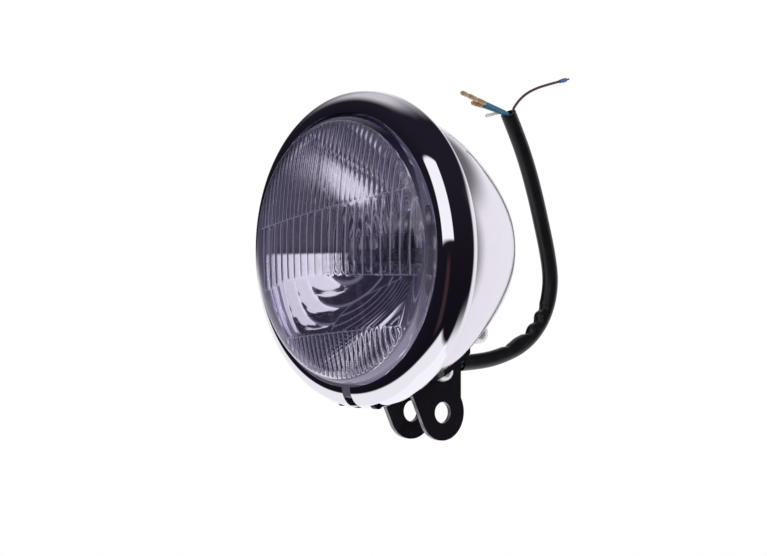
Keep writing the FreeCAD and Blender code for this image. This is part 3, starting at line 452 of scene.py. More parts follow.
FINISHES = {
    "chrome": chrome_plate,
    "bright_steel": mottled((0.74, 0.74, 0.77), (0.86, 0.86, 0.88), size=400.0, detail=3.0, rough=0.22,
                            rougher=0.12, metallic=0.7),
    "dark_steel": dark_screw,
    "lens_glass": lens_glass,
    "black_rubber": mottled((0.012, 0.012, 0.012), (0.03, 0.03, 0.03), size=1200.0, detail=5.0, rough=0.6,
                            rougher=0.2, dent=(0.25, 0.0003)),
    "reflector_mirror": mottled((0.90, 0.90, 0.93), (0.95, 0.95, 0.97), size=35.0, detail=4.0, rough=0.01,
                                rougher=0.03, metallic=1.0),
    "bulb_metal": mottled((0.55, 0.55, 0.54), (0.70, 0.70, 0.69), size=500.0, detail=3.0, rough=0.25,
                          rougher=0.15, metallic=1.0),
    "bulb_glass": bulb_envelope,
    "filament_wire": mottled((0.20, 0.20, 0.21), (0.40, 0.40, 0.41), size=4000.0, detail=2.0, rough=0.4,
                             rougher=0.1, metallic=1.0),
    "contact_brass": bare_brass,
    "socket_plastic": mottled((0.02, 0.02, 0.02), (0.045, 0.045, 0.045), size=900.0, detail=4.0, rough=0.45,
                              rougher=0.15, dent=(0.15, 0.0003)),
    "blue_pvc": wire_cover((0.02, 0.11, 0.20), (0.06, 0.20, 0.32)),
    "clear_pvc": wire_cover((0.62, 0.64, 0.66), (0.82, 0.83, 0.84)),
    "brown_pvc": wire_cover((0.055, 0.026, 0.028), (0.10, 0.055, 0.055)),
    "black_paint": black_paint,
    "sleeve_pvc": sleeve_tube,
    "bullet_brass": bare_brass,
    "terminal_blue": terminal_cover,
}
finishes = {slot: finish_of(slot, build) for slot, build in FINISHES.items()}
slot_of = {entry["node"]: entry["material_slot"] for entry in frame["record"]["subparts"]}

# Carried-over solids get their finish
for name, solid in nodes.items():
    solid.data.materials.clear()
    solid.data.materials.append(finishes[slot_of[name]])


def stands_for(made, *names):
    """The piece rides on the lamp and hides the nodes it redraws."""
    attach(made, "root")
    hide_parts(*names)
    return made


# Split rim, its ends cut square across the gap
RIM_BACK_ROUND = 7.0 * MM
RIM_CROWN_BACK = 1.0 * MM
RIM_SHEET = 1.2 * MM
RIM_GRIP = 72.1 * MM
RIM_SPLIT = 6.4 * MM
LUG_REACH = 11.0 * MM
CLAMP_DROP = 78.0 * MM
CLAMP_FORWARD = 3.2 * MM
POCKET_RADIUS = 3.5 * MM
POCKET_LENGTH = 8.0 * MM
RIM_STEPS = 640


def chrome_rim():
    """The rim's section carried round the axis from one side of the split to the other.

    A point at radius r starts where its sine is half the gap over r, so both ends are flat faces.
    """
    front_r = RIM_RADIUS - RIM_FRONT_ROUND
    back_r = RIM_RADIUS - RIM_BACK_ROUND
    back_y = RIM_CROWN_BACK + RIM_BACK_ROUND
    inner_front = RIM_FRONT_ROUND - RIM_SHEET
    section = rows_of(
        arc(-RIM_CROWN_FRONT, front_r, RIM_FRONT_ROUND, -90, 0, 30),
        arc(RIM_CROWN_BACK, back_r, RIM_BACK_ROUND, 0, 90, 22),
        (back_y, RIM_GRIP), (back_y - RIM_SHEET, RIM_GRIP),
        arc(RIM_CROWN_BACK, back_r, RIM_BACK_ROUND - RIM_SHEET, 90, 0, 10),
        arc(-RIM_CROWN_FRONT, front_r, inner_front, 0, -90, 14))
    y = section[:, 0][:, None]
    r = section[:, 1][:, None]
    start = np.arcsin(RIM_SPLIT / 2 / r)
    turn = np.pi + start + (TAU - 2 * start) * np.linspace(0, 1, RIM_STEPS)
    points = on_lamp(r * np.sin(turn), y, r * np.cos(turn))
    made = piece("chrome_rim", points, quads(len(section), RIM_STEPS, True, False), finishes["chrome"])
    work = bmesh.new()
    work.from_mesh(made.data)
    bmesh.ops.holes_fill(work, edges=[edge for edge in work.edges if edge.is_boundary])
    bmesh.ops.recalc_face_normals(work, faces=work.faces)
    work.to_mesh(made.data)
    work.free()
    profile = rows_of((0, 0), (0, POCKET_RADIUS), (POCKET_LENGTH, POCKET_RADIUS), (POCKET_LENGTH, 0))
    tools = []
    for side in (-1, 1):
        foot = on_lamp(side * LUG_REACH, -CLAMP_FORWARD, -CLAMP_DROP)
        tools.append(piece("pocket_tool", *turned_on(profile, foot, (side, 0, 0), 48), None))
    return stands_for(cut_with(made, *tools), "rim")


# Bowl outline in three tangent arcs
BOWL_RADIUS = 72.0 * MM
BOWL_SHEET = 1.0 * MM
BOWL_STRAIGHT = 7.0 * MM
SHOULDER_ROUND = 57.0 * MM
FLANK_ROUND = 186.0 * MM
SHOULDER_TURN = 31.0
FLANK_TURN = 41.0
FLANGE_FRONT = 2.2 * MM
FLANGE_RADIUS = 75.0 * MM


def bowl_arcs(offset, fineness):
    """The bowl's outline from its straight edge to its nose, moved outwards by an offset."""
    shoulder = np.radians(SHOULDER_TURN)
    flank = np.radians(FLANK_TURN)
    first_r = BOWL_RADIUS - SHOULDER_ROUND
    second_y = BOWL_STRAIGHT + (SHOULDER_ROUND - FLANK_ROUND) * np.sin(shoulder)
    second_r = first_r + (SHOULDER_ROUND - FLANK_ROUND) * np.cos(shoulder)
    nose = (second_r + FLANK_ROUND * np.cos(flank)) / np.cos(flank)
    nose_y = second_y + FLANK_ROUND * np.sin(flank) - nose * np.sin(flank)
    return rows_of(
        arc(BOWL_STRAIGHT, first_r, SHOULDER_ROUND + offset, 0, SHOULDER_TURN, fineness),
        arc(second_y, second_r, FLANK_ROUND + offset, SHOULDER_TURN, FLANK_TURN, fineness)[1:],
        arc(nose_y, 0.0, nose + offset, FLANK_TURN, 90, 2 * fineness)[1:])


def bowl_spot(slope, side):
    """Point on the bowl and the way out of it, from the slope there and the angle off the bottom."""
    slope, side, start = np.radians([slope, side, SHOULDER_TURN])
    on_shoulder = min(slope, start)
    on_flank = max(slope, start)
    y = BOWL_STRAIGHT + SHOULDER_ROUND * np.sin(on_shoulder)
    y += FLANK_ROUND * (np.sin(on_flank) - np.sin(start))
    r = BOWL_RADIUS - SHOULDER_ROUND * (1 - np.cos(on_shoulder))
    r -= FLANK_ROUND * (np.cos(start) - np.cos(on_flank))
    out = np.array([np.sin(side) * np.cos(slope), np.sin(slope), -np.cos(side) * np.cos(slope)])
    return on_lamp(r * np.sin(side), y, -r * np.cos(side)), out


GROMMET_SLOPE = 38.0
FOOT_SLOPE = 28.5
FOOT_SIDE = 18.3
EARTH_SLOPE = 36.5
EARTH_SIDE = 35.0
GROMMET_SPOT = bowl_spot(GROMMET_SLOPE, 0.0)
FOOT_SPOTS = [bowl_spot(FOOT_SLOPE, FOOT_SIDE), bowl_spot(FOOT_SLOPE, -FOOT_SIDE)]
EARTH_SPOT = bowl_spot(EARTH_SLOPE, EARTH_SIDE)
GROMMET_HOLE = 6.0 * MM
SCREW_HOLE = 2.7 * MM
DRILL_REACH = 8.0 * MM


def chrome_bowl():
    """The bowl's sheet turned about the axis, drilled for its grommet and screws."""
    outside = bowl_arcs(0.0, 26)
    inside = bowl_arcs(-BOWL_SHEET, 12)[::-1]
    section = rows_of(
        (-FLANGE_FRONT, BOWL_RADIUS - BOWL_SHEET), (-FLANGE_FRONT, FLANGE_RADIUS),
        (BOWL_SHEET - FLANGE_FRONT, FLANGE_RADIUS), (BOWL_SHEET - FLANGE_FRONT, BOWL_RADIUS), outside, inside)
    made = piece("chrome_bowl", *turned(section, 384), finishes["chrome"])
    tools = []
    for (spot, out), radius in [(GROMMET_SPOT, GROMMET_HOLE), (EARTH_SPOT, SCREW_HOLE)] + [
            (spot, SCREW_HOLE) for spot in FOOT_SPOTS]:
        profile = rows_of((0, 0), (0, radius), (2 * DRILL_REACH, radius), (2 * DRILL_REACH, 0))
        tools.append(piece("drill", *turned_on(profile, spot - out * DRILL_REACH, out, 40), None))
    return stands_for(cut_with(made, *tools), "shell")


def scallop(x, pitch, depth):
    """Round hollows side by side: depth times one minus the square of the place across each."""
    across = 2 * ((x / pitch + 0.5) % 1.0) - 1
    last = (int(FLUTE_FIELD_HALF / pitch) + 0.5) * pitch
    return np.where(np.abs(x) < last, depth * (1 - across ** 2), 0.0)


def flute_depth(x, z):
    """How deep the inside is hollowed: fine flutes at the top and bottom, coarse ones in the middle band."""
    top, low, window = flute_borders(x, z, np.maximum)
    upper = np.clip(top / FLUTE_BORDER, 0, 1)
    lower = np.clip(-window / FLUTE_BORDER, 0, 1)
    middle = np.clip(-top / FLUTE_BORDER - 1, 0, 1) * np.clip(low / FLUTE_BORDER, 0, 1)
    field = np.clip((FLUTE_FIELD - np.hypot(x, z)) / (2 * FLUTE_BORDER), 0, 1)
    fine = scallop(x, FINE_PITCH, FINE_DEPTH)
    return field * ((upper + lower) * fine + middle * scallop(x, COARSE_PITCH, COARSE_DEPTH))


GLASS_COLUMNS = 420
GLASS_ROWS = 130
GLASS_SHARP = 25.0
INSIDE_SHARE = 0.999


def domed_glass():
    """Inner dome as columns x = R sin s, each from bottom to top; the outside as rings on its edge."""
    inner_skirt = LENS_SKIRT - LENS_GLASS
    inner_dome = LENS_DOME - LENS_GLASS
    centre = LENS_DOME - LENS_FRONT
    place = np.linspace(-np.pi / 2, np.pi / 2, GLASS_COLUMNS)[:, None]
    x = inner_skirt * np.sin(place)
    z = inner_skirt * np.cos(place) * np.linspace(-1, 1, GLASS_ROWS)
    x = np.broadcast_to(x, z.shape)
    y = centre - np.sqrt(inner_dome ** 2 - x ** 2 - z ** 2) - flute_depth(x, z)
    inner = (on_lamp(x, y, z), quads(GLASS_COLUMNS, GLASS_ROWS))
    round_r = LENS_SKIRT - LENS_EDGE_ROUND
    slope = np.degrees(np.arcsin(round_r / (LENS_DOME - LENS_EDGE_ROUND)))
    round_y = centre - np.sqrt((LENS_DOME - LENS_EDGE_ROUND) ** 2 - round_r ** 2)
    dome_r = np.linspace(1, 0, 26) * LENS_DOME * round_r / (LENS_DOME - LENS_EDGE_ROUND)
    dome_y = centre - np.sqrt(LENS_DOME ** 2 - dome_r ** 2)
    inner_edge_y = centre - np.sqrt(inner_dome ** 2 - inner_skirt ** 2)
    section = rows_of(
        (inner_edge_y, inner_skirt), (LENS_BACK, inner_skirt), (LENS_BACK, LENS_FLANGE),
        (LENS_SHELF, LENS_FLANGE), (LENS_SHELF, LENS_SKIRT),
        arc(round_y, round_r, LENS_EDGE_ROUND, 0, slope - 90, 16),
        np.column_stack([dome_y, dome_r])[1:])
    around = np.concatenate([place[:, 0], np.pi - place[1:-1, 0][::-1]])
    ring_x = section[:, 1][:, None] * np.sin(around)
    ring_z = section[:, 1][:, None] * np.cos(around)
    outer = (on_lamp(ring_x, section[:, 0][:, None], ring_z),
             quads(len(section), len(around), False, True))
    made = piece("domed_glass", *join_grids(inner, outer), finishes["lens_glass"], sharp=GLASS_SHARP)
    spots = np.empty(3 * len(made.data.vertices), dtype=np.float32)
    made.data.vertices.foreach_get("co", spots)
    spots = spots.reshape(-1, 3)
    spot_r = np.hypot(spots[:, 0], spots[:, 2] - AXIS_HEIGHT)
    middle_y = centre + LENS_GLASS / 2 - np.sqrt(LENS_DOME ** 2 - spot_r ** 2)
    inside = (spot_r < INSIDE_SHARE * inner_skirt) & (spots[:, 1] - CREST_Y > middle_y)
    marks = made.data.attributes.new("inner_face", "FLOAT", "POINT")
    marks.data.foreach_set("value", inside.astype(np.float32))
    return stands_for(made, "lens")


# Reflector
FOCAL_LENGTH = 26.0 * MM
MOUTH_RADIUS = 66.0 * MM
REFLECTOR_SHEET = 0.8 * MM
NECK_RADIUS = 19.0 * MM
NECK_LENGTH = 5.8 * MM
SEAT_RADIUS = 23.0 * MM


def mirror_dish():
    """A parabola turned about the axis: y falls by the radius squared over four focal lengths."""
    vertex = -FLANGE_FRONT + MOUTH_RADIUS ** 2 / (4 * FOCAL_LENGTH)
    front_y = -FLANGE_FRONT - REFLECTOR_SHEET
    face_r = np.linspace(NECK_RADIUS, np.sqrt(4 * FOCAL_LENGTH * (vertex - front_y)), 44)
    back_r = np.linspace(np.sqrt(4 * FOCAL_LENGTH * (vertex + REFLECTOR_SHEET + FLANGE_FRONT)),
                         NECK_RADIUS + REFLECTOR_SHEET, 20)
    face = np.column_stack([vertex - face_r ** 2 / (4 * FOCAL_LENGTH), face_r])
    back = np.column_stack([vertex + REFLECTOR_SHEET - back_r ** 2 / (4 * FOCAL_LENGTH), back_r])
    seat = face[0, 0] + NECK_LENGTH
    neck_out = NECK_RADIUS + REFLECTOR_SHEET
    section = rows_of(
        face, (front_y, FLANGE_RADIUS), (-FLANGE_FRONT, FLANGE_RADIUS), back,
        (seat - REFLECTOR_SHEET, neck_out), (seat - REFLECTOR_SHEET, SEAT_RADIUS),
        (seat, SEAT_RADIUS), (seat, NECK_RADIUS))
    made = piece("mirror_dish", *turned(section, 320), finishes["reflector_mirror"])
    return stands_for(made, "reflector")


# Dome-head screws
SCREW_RADIUS = 2.5 * MM
HEAD_RADIUS = 5.0 * MM
HEAD_HEIGHT = 3.4 * MM
SCREW_LENGTH = 11.0 * MM
FOOT_LIFT = 2.65 * MM
EARTH_LIFT = 0.1 * MM
EARTH_LENGTH = 8.5 * MM


def dome_screw(spot, out, lift, length):
    """A shank and a spherical cap turned about the way out of the bowl."""
    cap_radius = (HEAD_RADIUS ** 2 + HEAD_HEIGHT ** 2) / (2 * HEAD_HEIGHT)
    cap_angle = np.arcsin(HEAD_RADIUS / cap_radius)
    angle = np.linspace(cap_angle, 0, 18)
    cap = np.column_stack([HEAD_HEIGHT - cap_radius + cap_radius * np.cos(angle), cap_radius * np.sin(angle)])
    profile = rows_of((-length, 0), (-length, SCREW_RADIUS), (0, SCREW_RADIUS), (0, HEAD_RADIUS), cap)
    return turned_on(profile, spot + out * lift, out, 64)


def bowl_screws():
    """Both bracket screws as one piece and the earth screw as another."""
    pair = join_grids(*[dome_screw(spot, out, FOOT_LIFT, SCREW_LENGTH) for spot, out in FOOT_SPOTS])
    stands_for(piece("foot_screws", *pair, finishes["bright_steel"]), "bracket_screws")
    single = dome_screw(*EARTH_SPOT, EARTH_LIFT, EARTH_LENGTH)
    stands_for(piece("side_earth_screw", *single, finishes["bright_steel"]), "earth_screw")


# Runs of the free wires, the same shares of the rim's radius as the solids have
SLEEVE_ROUTE = [
    (0.8247, -0.7321), (0.9877, -0.7235), (1.1420, -0.6963), (1.2938, -0.6494), (1.4000, -0.5901),
    (1.4852, -0.5123), (1.5494, -0.4173), (1.5901, -0.3074), (1.6037, -0.1778), (1.5728, -0.0123),
    (1.5235, 0.1605), (1.4679, 0.3457), (1.3975, 0.5432), (1.3136, 0.7284), (1.2222, 0.8926),
]
BROWN_ROUTE = [
    (1.2593, 0.9407), (1.3037, 0.9864), (1.3630, 1.0259), (1.4420, 1.0593), (1.5383, 1.0864),
    (1.6605, 1.1136),
]
SLEEVE_RADIUS = 4.2 * MM
SLEEVE_WALL = 0.7 * MM
TAIL_RADIUS = 1.0 * MM
TAIL_RISE = 1.2 * MM
BULLET_RADIUS = 1.25 * MM
CLEAR_RADIUS = 0.8 * MM
CLEAR_RISE = 1.6 * MM
BROWN_RADIUS = 0.7 * MM
BROWN_SIDE = 2.1 * MM
BROWN_SHIFT = 1.85 * MM
BROWN_RISE = 0.7 * MM
MOUTH_DEPTH = 5.0 * MM


def route(shares, x):
    """Points of a run in the frame."""
    shares = np.array(shares) * RIM_RADIUS
    return on_lamp(x, shares[:, 0], shares[:, 1])


# The lower end reaches a little closer to the bracket
SLEEVE_TUCK = 1.8 * MM
sleeve_points = route(SLEEVE_ROUTE, 0.0)
sleeve_points[0, 1] -= SLEEVE_TUCK
sleeve_top = sleeve_points[-1]
top_way = sleeve_points[-1] - sleeve_points[-2]
top_way /= np.linalg.norm(top_way)
top_side = np.array([0.0, -top_way[2], top_way[1]])


def smooth_line(points, fineness):
    """Points along the quadratic NURBS line that has the route's points as its controls."""
    curve = bpy.data.curves.new("route", "CURVE")
    curve.dimensions = "3D"
    curve.resolution_u = fineness
    line = curve.splines.new("NURBS")
    line.points.add(len(points) - 1)
    line.points.foreach_set("co", np.column_stack([points, np.ones(len(points))]).ravel())
    line.order_u = 3
    line.use_endpoint_u = True
    holder = bpy.data.objects.new("route", curve)
    bpy.context.scene.collection.objects.link(holder)
    view = bpy.context.evaluated_depsgraph_get()
    mesh = bpy.data.meshes.new_from_object(holder.evaluated_get(view))
    found = np.empty(len(mesh.vertices) * 3)
    mesh.vertices.foreach_get("co", found)
    bpy.data.objects.remove(holder)
    return found.reshape(-1, 3)


def across_line(line):
    """For each point of a line, two directions across it, the first near +X."""
    way = np.gradient(line, axis=0)
    way /= np.linalg.norm(way, axis=1)[:, None]
    level = np.array([1.0, 0.0, 0.0]) - way * way[:, :1]
    level /= np.linalg.norm(level, axis=1)[:, None]
    return level, np.cross(way, level)


def tube(line, radius, steps):
    """A ring, of one radius or one per point and angle, carried along a line and closed at its ends."""
    level, across = across_line(line)
    turn = np.arange(steps) * TAU / steps
    ring = level[:, None] * np.cos(turn)[None, :, None] + across[:, None] * np.sin(turn)[None, :, None]
    rings = line[:, None] + ring * np.broadcast_to(radius, (len(line), steps))[..., None]
    first = np.broadcast_to(line[:1, None], (1, steps, 3))
    last = np.broadcast_to(line[-1:, None], (1, steps, 3))
    points = np.concatenate([first, rings, last])
    return points, quads(len(line) + 2, steps, False, True)


def wire_piece(name, points, radius, slot, node):
    made = piece(name, *tube(smooth_line(points, 10), radius, 20), finishes[slot])
    return stands_for(made, node)


# Bullet outline as shares of its length and of its radius
BULLET_OUTLINE = [(0, 0), (0, 0.828), (0.03, 0.92), (0.30, 0.92), (0.33, 0.72), (0.37, 0.72), (0.40, 1),
                  (0.66, 1), (0.70, 0.82), (0.74, 0.82), (0.78, 1)]
BULLET_SHARP = 40.0


def bullet(name, foot, way, length, radius, slot, node):
    """A crimped barrel, a waist and a round-nosed pin turned about the wire's end."""
    angle = np.linspace(np.pi / 2, 0, 10)
    nose = np.column_stack([length - radius + radius * np.cos(angle), radius * np.sin(angle)])
    profile = rows_of(np.array(BULLET_OUTLINE) * (length, radius), nose)
    made = piece(name, *turned_on(profile, foot, way, 36), finishes[slot], sharp=BULLET_SHARP)
    return stands_for(made, node)


LEVEL = np.array([1.0, 0.0, 0.0])


def forward(angle):
    """Direction to the front of the lamp, rising by an angle in degrees."""
    return np.array([0.0, -np.cos(np.radians(angle)), np.sin(np.radians(angle))])


def tail(side, shift, rise, way, run):
    """A wire from inside the sleeve's mouth, over its bend, to its end."""
    start = sleeve_top + LEVEL * side + top_side * shift
    bend = start + top_way * rise
    return np.array([start - top_way * MOUTH_DEPTH, start, bend, bend + way * run])


# Slopes of the wire ends in degrees, and each wire's place in the mouth and its run
LONG_WAY = forward(17)
SHORT_WAY = forward(13)
CLEAR_WAY = forward(-12)
LONG_LINE = tail(1.5 * MM, 2.0 * MM, TAIL_RISE, LONG_WAY, 16 * MM)
SHORT_LINE = tail(-0.6 * MM, 2.3 * MM, TAIL_RISE, SHORT_WAY, 15 * MM)
CLEAR_LINE = tail(-2.45 * MM, 1.1 * MM, CLEAR_RISE, CLEAR_WAY, 7 * MM)
SHORT_BULLET_SHIFT = 0.6 * MM
LONG_BULLET = 18 * MM
SHORT_BULLET = 8 * MM
CLEAR_TIP = 5.4 * MM
CLEAR_TIP_RADIUS = 0.96 * MM


def wire_ends():
    """The three short wires that leave the sleeve's top, each with its terminal."""
    short_foot = SHORT_LINE[-1] - LEVEL * SHORT_BULLET_SHIFT
    return [
        wire_piece("long_blue_tail", LONG_LINE, TAIL_RADIUS, "blue_pvc", "blue_wire_long"),
        wire_piece("short_blue_tail", SHORT_LINE, TAIL_RADIUS, "blue_pvc", "blue_wire_short"),
        wire_piece("clear_tail", CLEAR_LINE, CLEAR_RADIUS, "clear_pvc", "clear_wire"),
        bullet("long_bullet", LONG_LINE[-1], LONG_WAY, LONG_BULLET, BULLET_RADIUS, "bullet_brass",
               "bullet_terminal_long"),
        bullet("short_bullet", short_foot, SHORT_WAY, SHORT_BULLET, BULLET_RADIUS, "bullet_brass",
               "bullet_terminal_short"),
        bullet("clear_tip", CLEAR_LINE[-1], CLEAR_WAY, CLEAR_TIP, CLEAR_TIP_RADIUS, "clear_pvc",
               "clear_wire_end"),
    ]


COVER_LENGTH = 5.4 * MM
COVER_RADIUS = 1.15 * MM
PIN_RADIUS = 0.45 * MM
PIN_TIP = 7.3 * MM
# Cover outline as shares of its length and of its radius
COVER_OUTLINE = [(0, 0), (0, 0.8), (0.2, 0.88), (0.45, 1), (0.7, 1), (0.9, 0.85), (1, 0.6)]


def covered_terminal(foot, way):
    """A swelling sleeve over a crimp and the thin pin that stands out of it, turned about the wire's end."""
    angle = np.linspace(np.pi / 2, 0, 8)
    nose = np.column_stack([PIN_TIP - PIN_RADIUS + PIN_RADIUS * np.cos(angle), PIN_RADIUS * np.sin(angle)])
    cover = np.array(COVER_OUTLINE) * (COVER_LENGTH, COVER_RADIUS)
    profile = rows_of(cover, (COVER_LENGTH, PIN_RADIUS), nose)
    made = piece("brown_terminal", *turned_on(profile, foot, way, 32), finishes["terminal_blue"])
    return stands_for(made, "brown_wire_terminal")


def brown_tail():
    """The thin brown wire that arches away to the rear, with its covered terminal."""
    start = sleeve_top + LEVEL * BROWN_SIDE - top_side * BROWN_SHIFT + top_way * BROWN_RISE
    points = rows_of(start - top_way * MOUTH_DEPTH, start, route(BROWN_ROUTE, BROWN_SIDE))
    line = smooth_line(points, 12)
    made = piece("brown_tail", *tube(line, BROWN_RADIUS, 16), finishes["brown_pvc"])
    stands_for(made, "brown_wire")
    terminal = covered_terminal(points[-1], points[-1] - points[-2])


# Folds pressed into the inside of the bend and swells between them: share of the length, width, depth in mm
SLEEVE_FOLDS = [(0.190, 0.010, 0.7), (0.287, 0.011, 1.7), (0.340, 0.010, 1.6), (0.387, 0.011, 1.3),
                (0.240, 0.030, -1.1), (0.315, 0.012, -0.4), (0.365, 0.012, -0.6)]
SLEEVE_STEPS = 48
SLEEVE_SHARP = 50.0
# Where the tight bend lies along the sleeve, how wide it is and how oval it makes the tube
BEND_PLACE = 0.32
BEND_WIDTH = 0.14
BEND_OVAL = 0.05
MOUTH_ROWS = 14


def black_sleeve(riders):
    """A soft tube on the route: oval and folded on the inside of its tight bend, open at both ends."""
    line = smooth_line(sleeve_points, 24)
    along = np.concatenate([[0], np.cumsum(np.linalg.norm(np.diff(line, axis=0), axis=1))])
    share = (along / along[-1])[:, None]
    turn = np.arange(SLEEVE_STEPS) * TAU / SLEEVE_STEPS
    inner_side = np.clip(-np.sin(turn), 0, 1)
    radius = np.full((len(line), SLEEVE_STEPS), SLEEVE_RADIUS)
    for place, width, depth in SLEEVE_FOLDS:
        radius = radius - depth * MM * inner_side * np.exp(-((share - place) / width) ** 2)
    bend = np.exp(-((share - BEND_PLACE) / BEND_WIDTH) ** 2)
    radius = radius * (1 + BEND_OVAL * bend * np.cos(2 * turn))
    level, across = across_line(line)
    ring = level[:, None] * np.cos(turn)[None, :, None] + across[:, None] * np.sin(turn)[None, :, None]
    bore = SLEEVE_RADIUS - SLEEVE_WALL
    outside = line[:, None] + ring * radius[..., None]
    inside_top = line[:-MOUTH_ROWS:-1, None] + ring[:-MOUTH_ROWS:-1] * bore
    inside_low = line[MOUTH_ROWS:0:-1, None] + ring[MOUTH_ROWS:0:-1] * bore
    floor_top = np.broadcast_to(line[-MOUTH_ROWS + 1][None, None], (1, SLEEVE_STEPS, 3))
    floor_low = np.broadcast_to(line[MOUTH_ROWS][None, None], (1, SLEEVE_STEPS, 3))
    inside_low = np.concatenate([inside_low, line[:1, None] + ring[:1] * bore])
    points = np.concatenate([floor_low, inside_low, outside, inside_top, floor_top])
    faces = quads(len(points), SLEEVE_STEPS, False, True)
    made = piece("black_sleeve", points, faces, finishes["sleeve_pvc"], sharp=SLEEVE_SHARP)
    stands_for(made, "harness_sleeve")


chrome_rim()
chrome_bowl()
domed_glass()
mirror_dish()
bowl_screws()
black_sleeve(wire_ends())
brown_tail()

# Rounded edges on the painted bracket
BRACKET_WELD = 1e-5
BRACKET_ROUND = 0.35 * MM
BRACKET_CORNER = 40.0
weld = nodes["bracket"].modifiers.new("weld", "WELD")
weld.merge_threshold = BRACKET_WELD
soft_edge = nodes["bracket"].modifiers.new("soft edge", "BEVEL")
soft_edge.width = BRACKET_ROUND
soft_edge.segments = 2
soft_edge.limit_method = "ANGLE"
soft_edge.angle_limit = np.radians(BRACKET_CORNER)

# Pale floor below the lamp
FLOOR_HEIGHT = -0.16
FLOOR_REACH = 12.0


def pale_floor():
    corners = [(-FLOOR_REACH, -FLOOR_REACH, FLOOR_HEIGHT), (FLOOR_REACH, -FLOOR_REACH, FLOOR_HEIGHT),
               (FLOOR_REACH, FLOOR_REACH, FLOOR_HEIGHT), (-FLOOR_REACH, FLOOR_REACH, FLOOR_HEIGHT)]
    mesh = bpy.data.meshes.new("pale_floor")
    mesh.from_pydata(corners, [], [(0, 1, 2, 3)])
    made = bpy.data.objects.new("pale_floor", mesh)
    bpy.context.scene.collection.objects.link(made)
    mesh.materials.append(finish_of("pale_floor", lambda board: {
        "Base Color": rgba(0.9, 0.9, 0.9), "Roughness": 1.0, "Specular IOR Level": 0.0,
        "Emission Color": rgba(1, 1, 1), "Emission Strength": 0.1}))
    made.visible_glossy = False
    made.visible_transmission = False


pale_floor()


# Bright areas round the lamp, each by its corners' heading and height in degrees
FRONT_BOX = [(-99, 1.7), (-108, 22), (-57, 50), (-38, 5.6)]
WHITE_TABLE = [(-30, -51), (-88, -51), (-150, -20), (-172, -2), (150, -1), (60, -51)]
OVERHEAD = [(122, 22), (146, 74), (-150, 60), (180, 28)]
WARM_WALL = [(-57, -4), (-74, -4), (-72, -42), (-52, -42)]
INNER_BOX = [(-10, 3), (-58, 3), (-62, 30), (-61, 57), (-20, 55)]
INNER_TABLE = [(-70, -42), (-74, -62), (-100, -66), (-107, -47), (-90, -38)]
INNER_OVERHEAD = [(-130, 50), (-145, 68), (170, 62), (178, 46), (-155, 42)]
# An edge counts as upright where its plane leans less than this
UPRIGHT_EDGE = 0.6
# How soft a panel's edges are, as a share of the unit direction
CRISP = 0.02
TABLE_SOFT = 0.05
WALL_SOFT = 0.08
INNER_OVERHEAD_SOFT = 0.10
OVERHEAD_SOFT = 0.24
INNER_UNEVEN = 0.55
# How bright each area is
REAR_LIGHT = 0.86
TABLE_LIGHT = 0.9
OVERHEAD_LIGHT = 0.6
INNER_TABLE_LIGHT = 0.75
INNER_LEAST = 0.012
BELOW_LIGHT = 0.012
STRIPE_LIGHT = 0.22
# Headings and heights in degrees between which areas fade
REAR_RISE = (47, 70)
REAR_FALL = (138, 162)
REAR_TOP = (14, 34)
ROOM_FADE = (-40, 60)
BELOW_FADE = (-6, 6)
# Fine bright uprights seen in the flutes: waves for each degree of heading, and how much of a wave is lit
STRIPES = TAU / 11
STRIPE_LIT = (0.78, 0.97)


def heading_way(heading, height):
    """Unit direction from a heading and a height in degrees."""
    heading, height = np.radians([heading, height])
    return np.array([np.cos(height) * np.cos(heading), np.cos(height) * np.sin(heading), np.sin(height)])


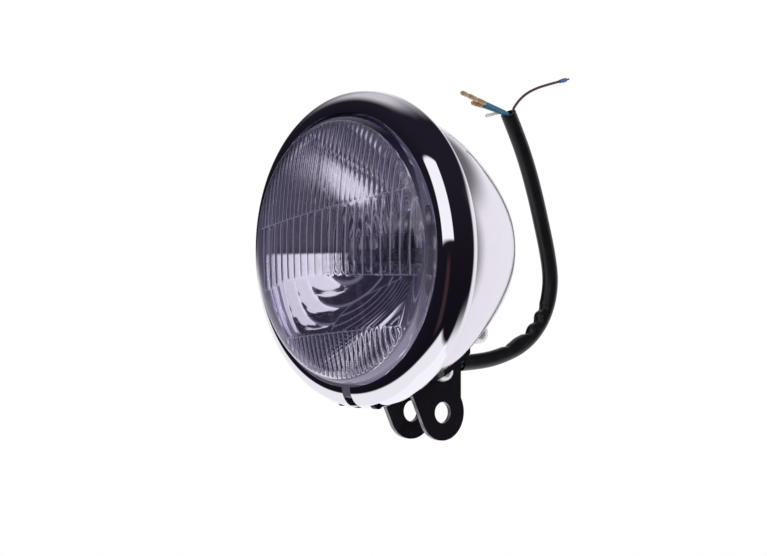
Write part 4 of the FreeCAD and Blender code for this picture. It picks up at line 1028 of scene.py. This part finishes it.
def studio_world():
    """White to the camera, even light on matt surfaces, a dark room with bright panels in shiny ones."""
    world = bpy.data.worlds.new("studio")
    bpy.context.scene.world = world
    world.use_nodes = True
    board = Board(world.node_tree)
    look = board.node("ShaderNodeTexCoord", output="Generated")
    x, y, z = board.node("ShaderNodeSeparateXYZ", {}, {0: look}, output=("X", "Y", "Z"))
    heading = y.math("ARCTAN2", y, x) * DEGREES
    height = z.math("ARCSINE", z) * DEGREES
    ragged = board.noise(16.0, 3.0, (1, 1, 0.22), look) - 0.5

    def panel(corners, soft, uneven=0.0):
        """1 inside a panel: the direction lies on the inner side of the plane through each of its edges."""
        ways = [heading_way(*corner) for corner in corners]
        middle = sum(ways)
        inside = None
        for first, second in zip(ways, ways[1:] + ways[:1]):
            edge = np.cross(first, second)
            edge /= np.linalg.norm(edge) * np.sign(np.dot(edge, middle))
            depth = x * edge[0] + y * edge[1] + z * edge[2]
            if uneven and abs(edge[2]) < UPRIGHT_EDGE:
                depth = depth + uneven * ragged
            side = depth.step(-soft, soft)
            inside = side if inside is None else inside * side
        return inside

    rear = heading.step(*REAR_RISE) * (1 - heading.step(*REAR_FALL)) * (1 - height.step(*REAR_TOP))
    lit = REAR_LIGHT * rear + panel(FRONT_BOX, CRISP) + TABLE_LIGHT * panel(WHITE_TABLE, TABLE_SOFT)
    lit = lit + OVERHEAD_LIGHT * panel(OVERHEAD, OVERHEAD_SOFT)
    lit = lit.math("MINIMUM", lit, 1.0)
    room = board.blend(height.step(*ROOM_FADE), rgba(0.006, 0.005, 0.009), rgba(0.014, 0.011, 0.020))
    room = board.blend(panel(WARM_WALL, WALL_SOFT), room, rgba(0.042, 0.023, 0.028))
    shown = board.blend(lit, room, rgba(0.97, 0.955, 1.0))
    wave = heading * STRIPES
    stripe = wave.math("SINE", wave).step(*STRIPE_LIT)
    below = 1 - height.step(*BELOW_FADE)
    inner = INNER_LEAST + below * (BELOW_LIGHT + STRIPE_LIGHT * stripe)
    inner = inner + panel(INNER_BOX, CRISP, INNER_UNEVEN) + INNER_TABLE_LIGHT * panel(INNER_TABLE, WALL_SOFT)
    inner = inner + panel(INNER_OVERHEAD, INNER_OVERHEAD_SOFT)
    inner = inner.math("MINIMUM", inner, 1.0)
    seen_inside = board.blend(inner, rgba(0.008, 0.004, 0.016), rgba(0.96, 0.92, 1.0))
    camera, glossy, through = board.node(
        "ShaderNodeLightPath", output=("Is Camera Ray", "Is Glossy Ray", "Is Transmission Ray"))
    colour = board.blend(glossy, rgba(1, 1, 1), shown)
    colour = board.blend(through, colour, seen_inside)
    colour = board.blend(camera, colour, rgba(1, 1, 1))
    sky = board.node("ShaderNodeBackground", {}, {"Color": colour, "Strength": 1.0})
    board.node("ShaderNodeOutputWorld", {}, {"Surface": sky})


studio_world()

# Camera at the photograph's viewing angle
CAMERA_TURN = 49.5
CAMERA_RISE = 0.38
CAMERA_DISTANCE = 1.768
FRAME_WIDTH = 767
FRAME_HEIGHT = 556
PIXELS_PER_METRE = 1957.4
RIM_CENTRE_PIXEL = (365.3, 249.7)
SENSOR = 36.0
FAR_CLIP = 50.0


def studio_camera():
    """A long lens aimed so that the rim's centre falls on its pixel."""
    turn = np.radians(CAMERA_TURN)
    rise = np.radians(CAMERA_RISE)
    back = np.array([np.sin(turn) * np.cos(rise), -np.cos(turn) * np.cos(rise), np.sin(rise)])
    right = np.array([np.cos(turn), np.sin(turn), 0.0])
    up = np.cross(back, right)
    rim_centre = np.array([0.0, CREST_Y, AXIS_HEIGHT])
    across = (FRAME_WIDTH / 2 - RIM_CENTRE_PIXEL[0]) / PIXELS_PER_METRE
    above = (RIM_CENTRE_PIXEL[1] - FRAME_HEIGHT / 2) / PIXELS_PER_METRE
    eye = rim_centre + right * across + up * above + back * CAMERA_DISTANCE
    lens = bpy.data.cameras.new("studio_camera")
    lens.sensor_width = SENSOR
    lens.lens = SENSOR * CAMERA_DISTANCE * PIXELS_PER_METRE / FRAME_WIDTH
    lens.clip_end = FAR_CLIP
    made = bpy.data.objects.new("studio_camera", lens)
    bpy.context.scene.collection.objects.link(made)
    made.matrix_world = Matrix((
        (right[0], up[0], back[0], eye[0]), (right[1], up[1], back[1], eye[1]),
        (right[2], up[2], back[2], eye[2]), (0, 0, 0, 1)))
    bpy.context.scene.camera = made


studio_camera()
bpy.context.scene.view_settings.view_transform = "Standard"
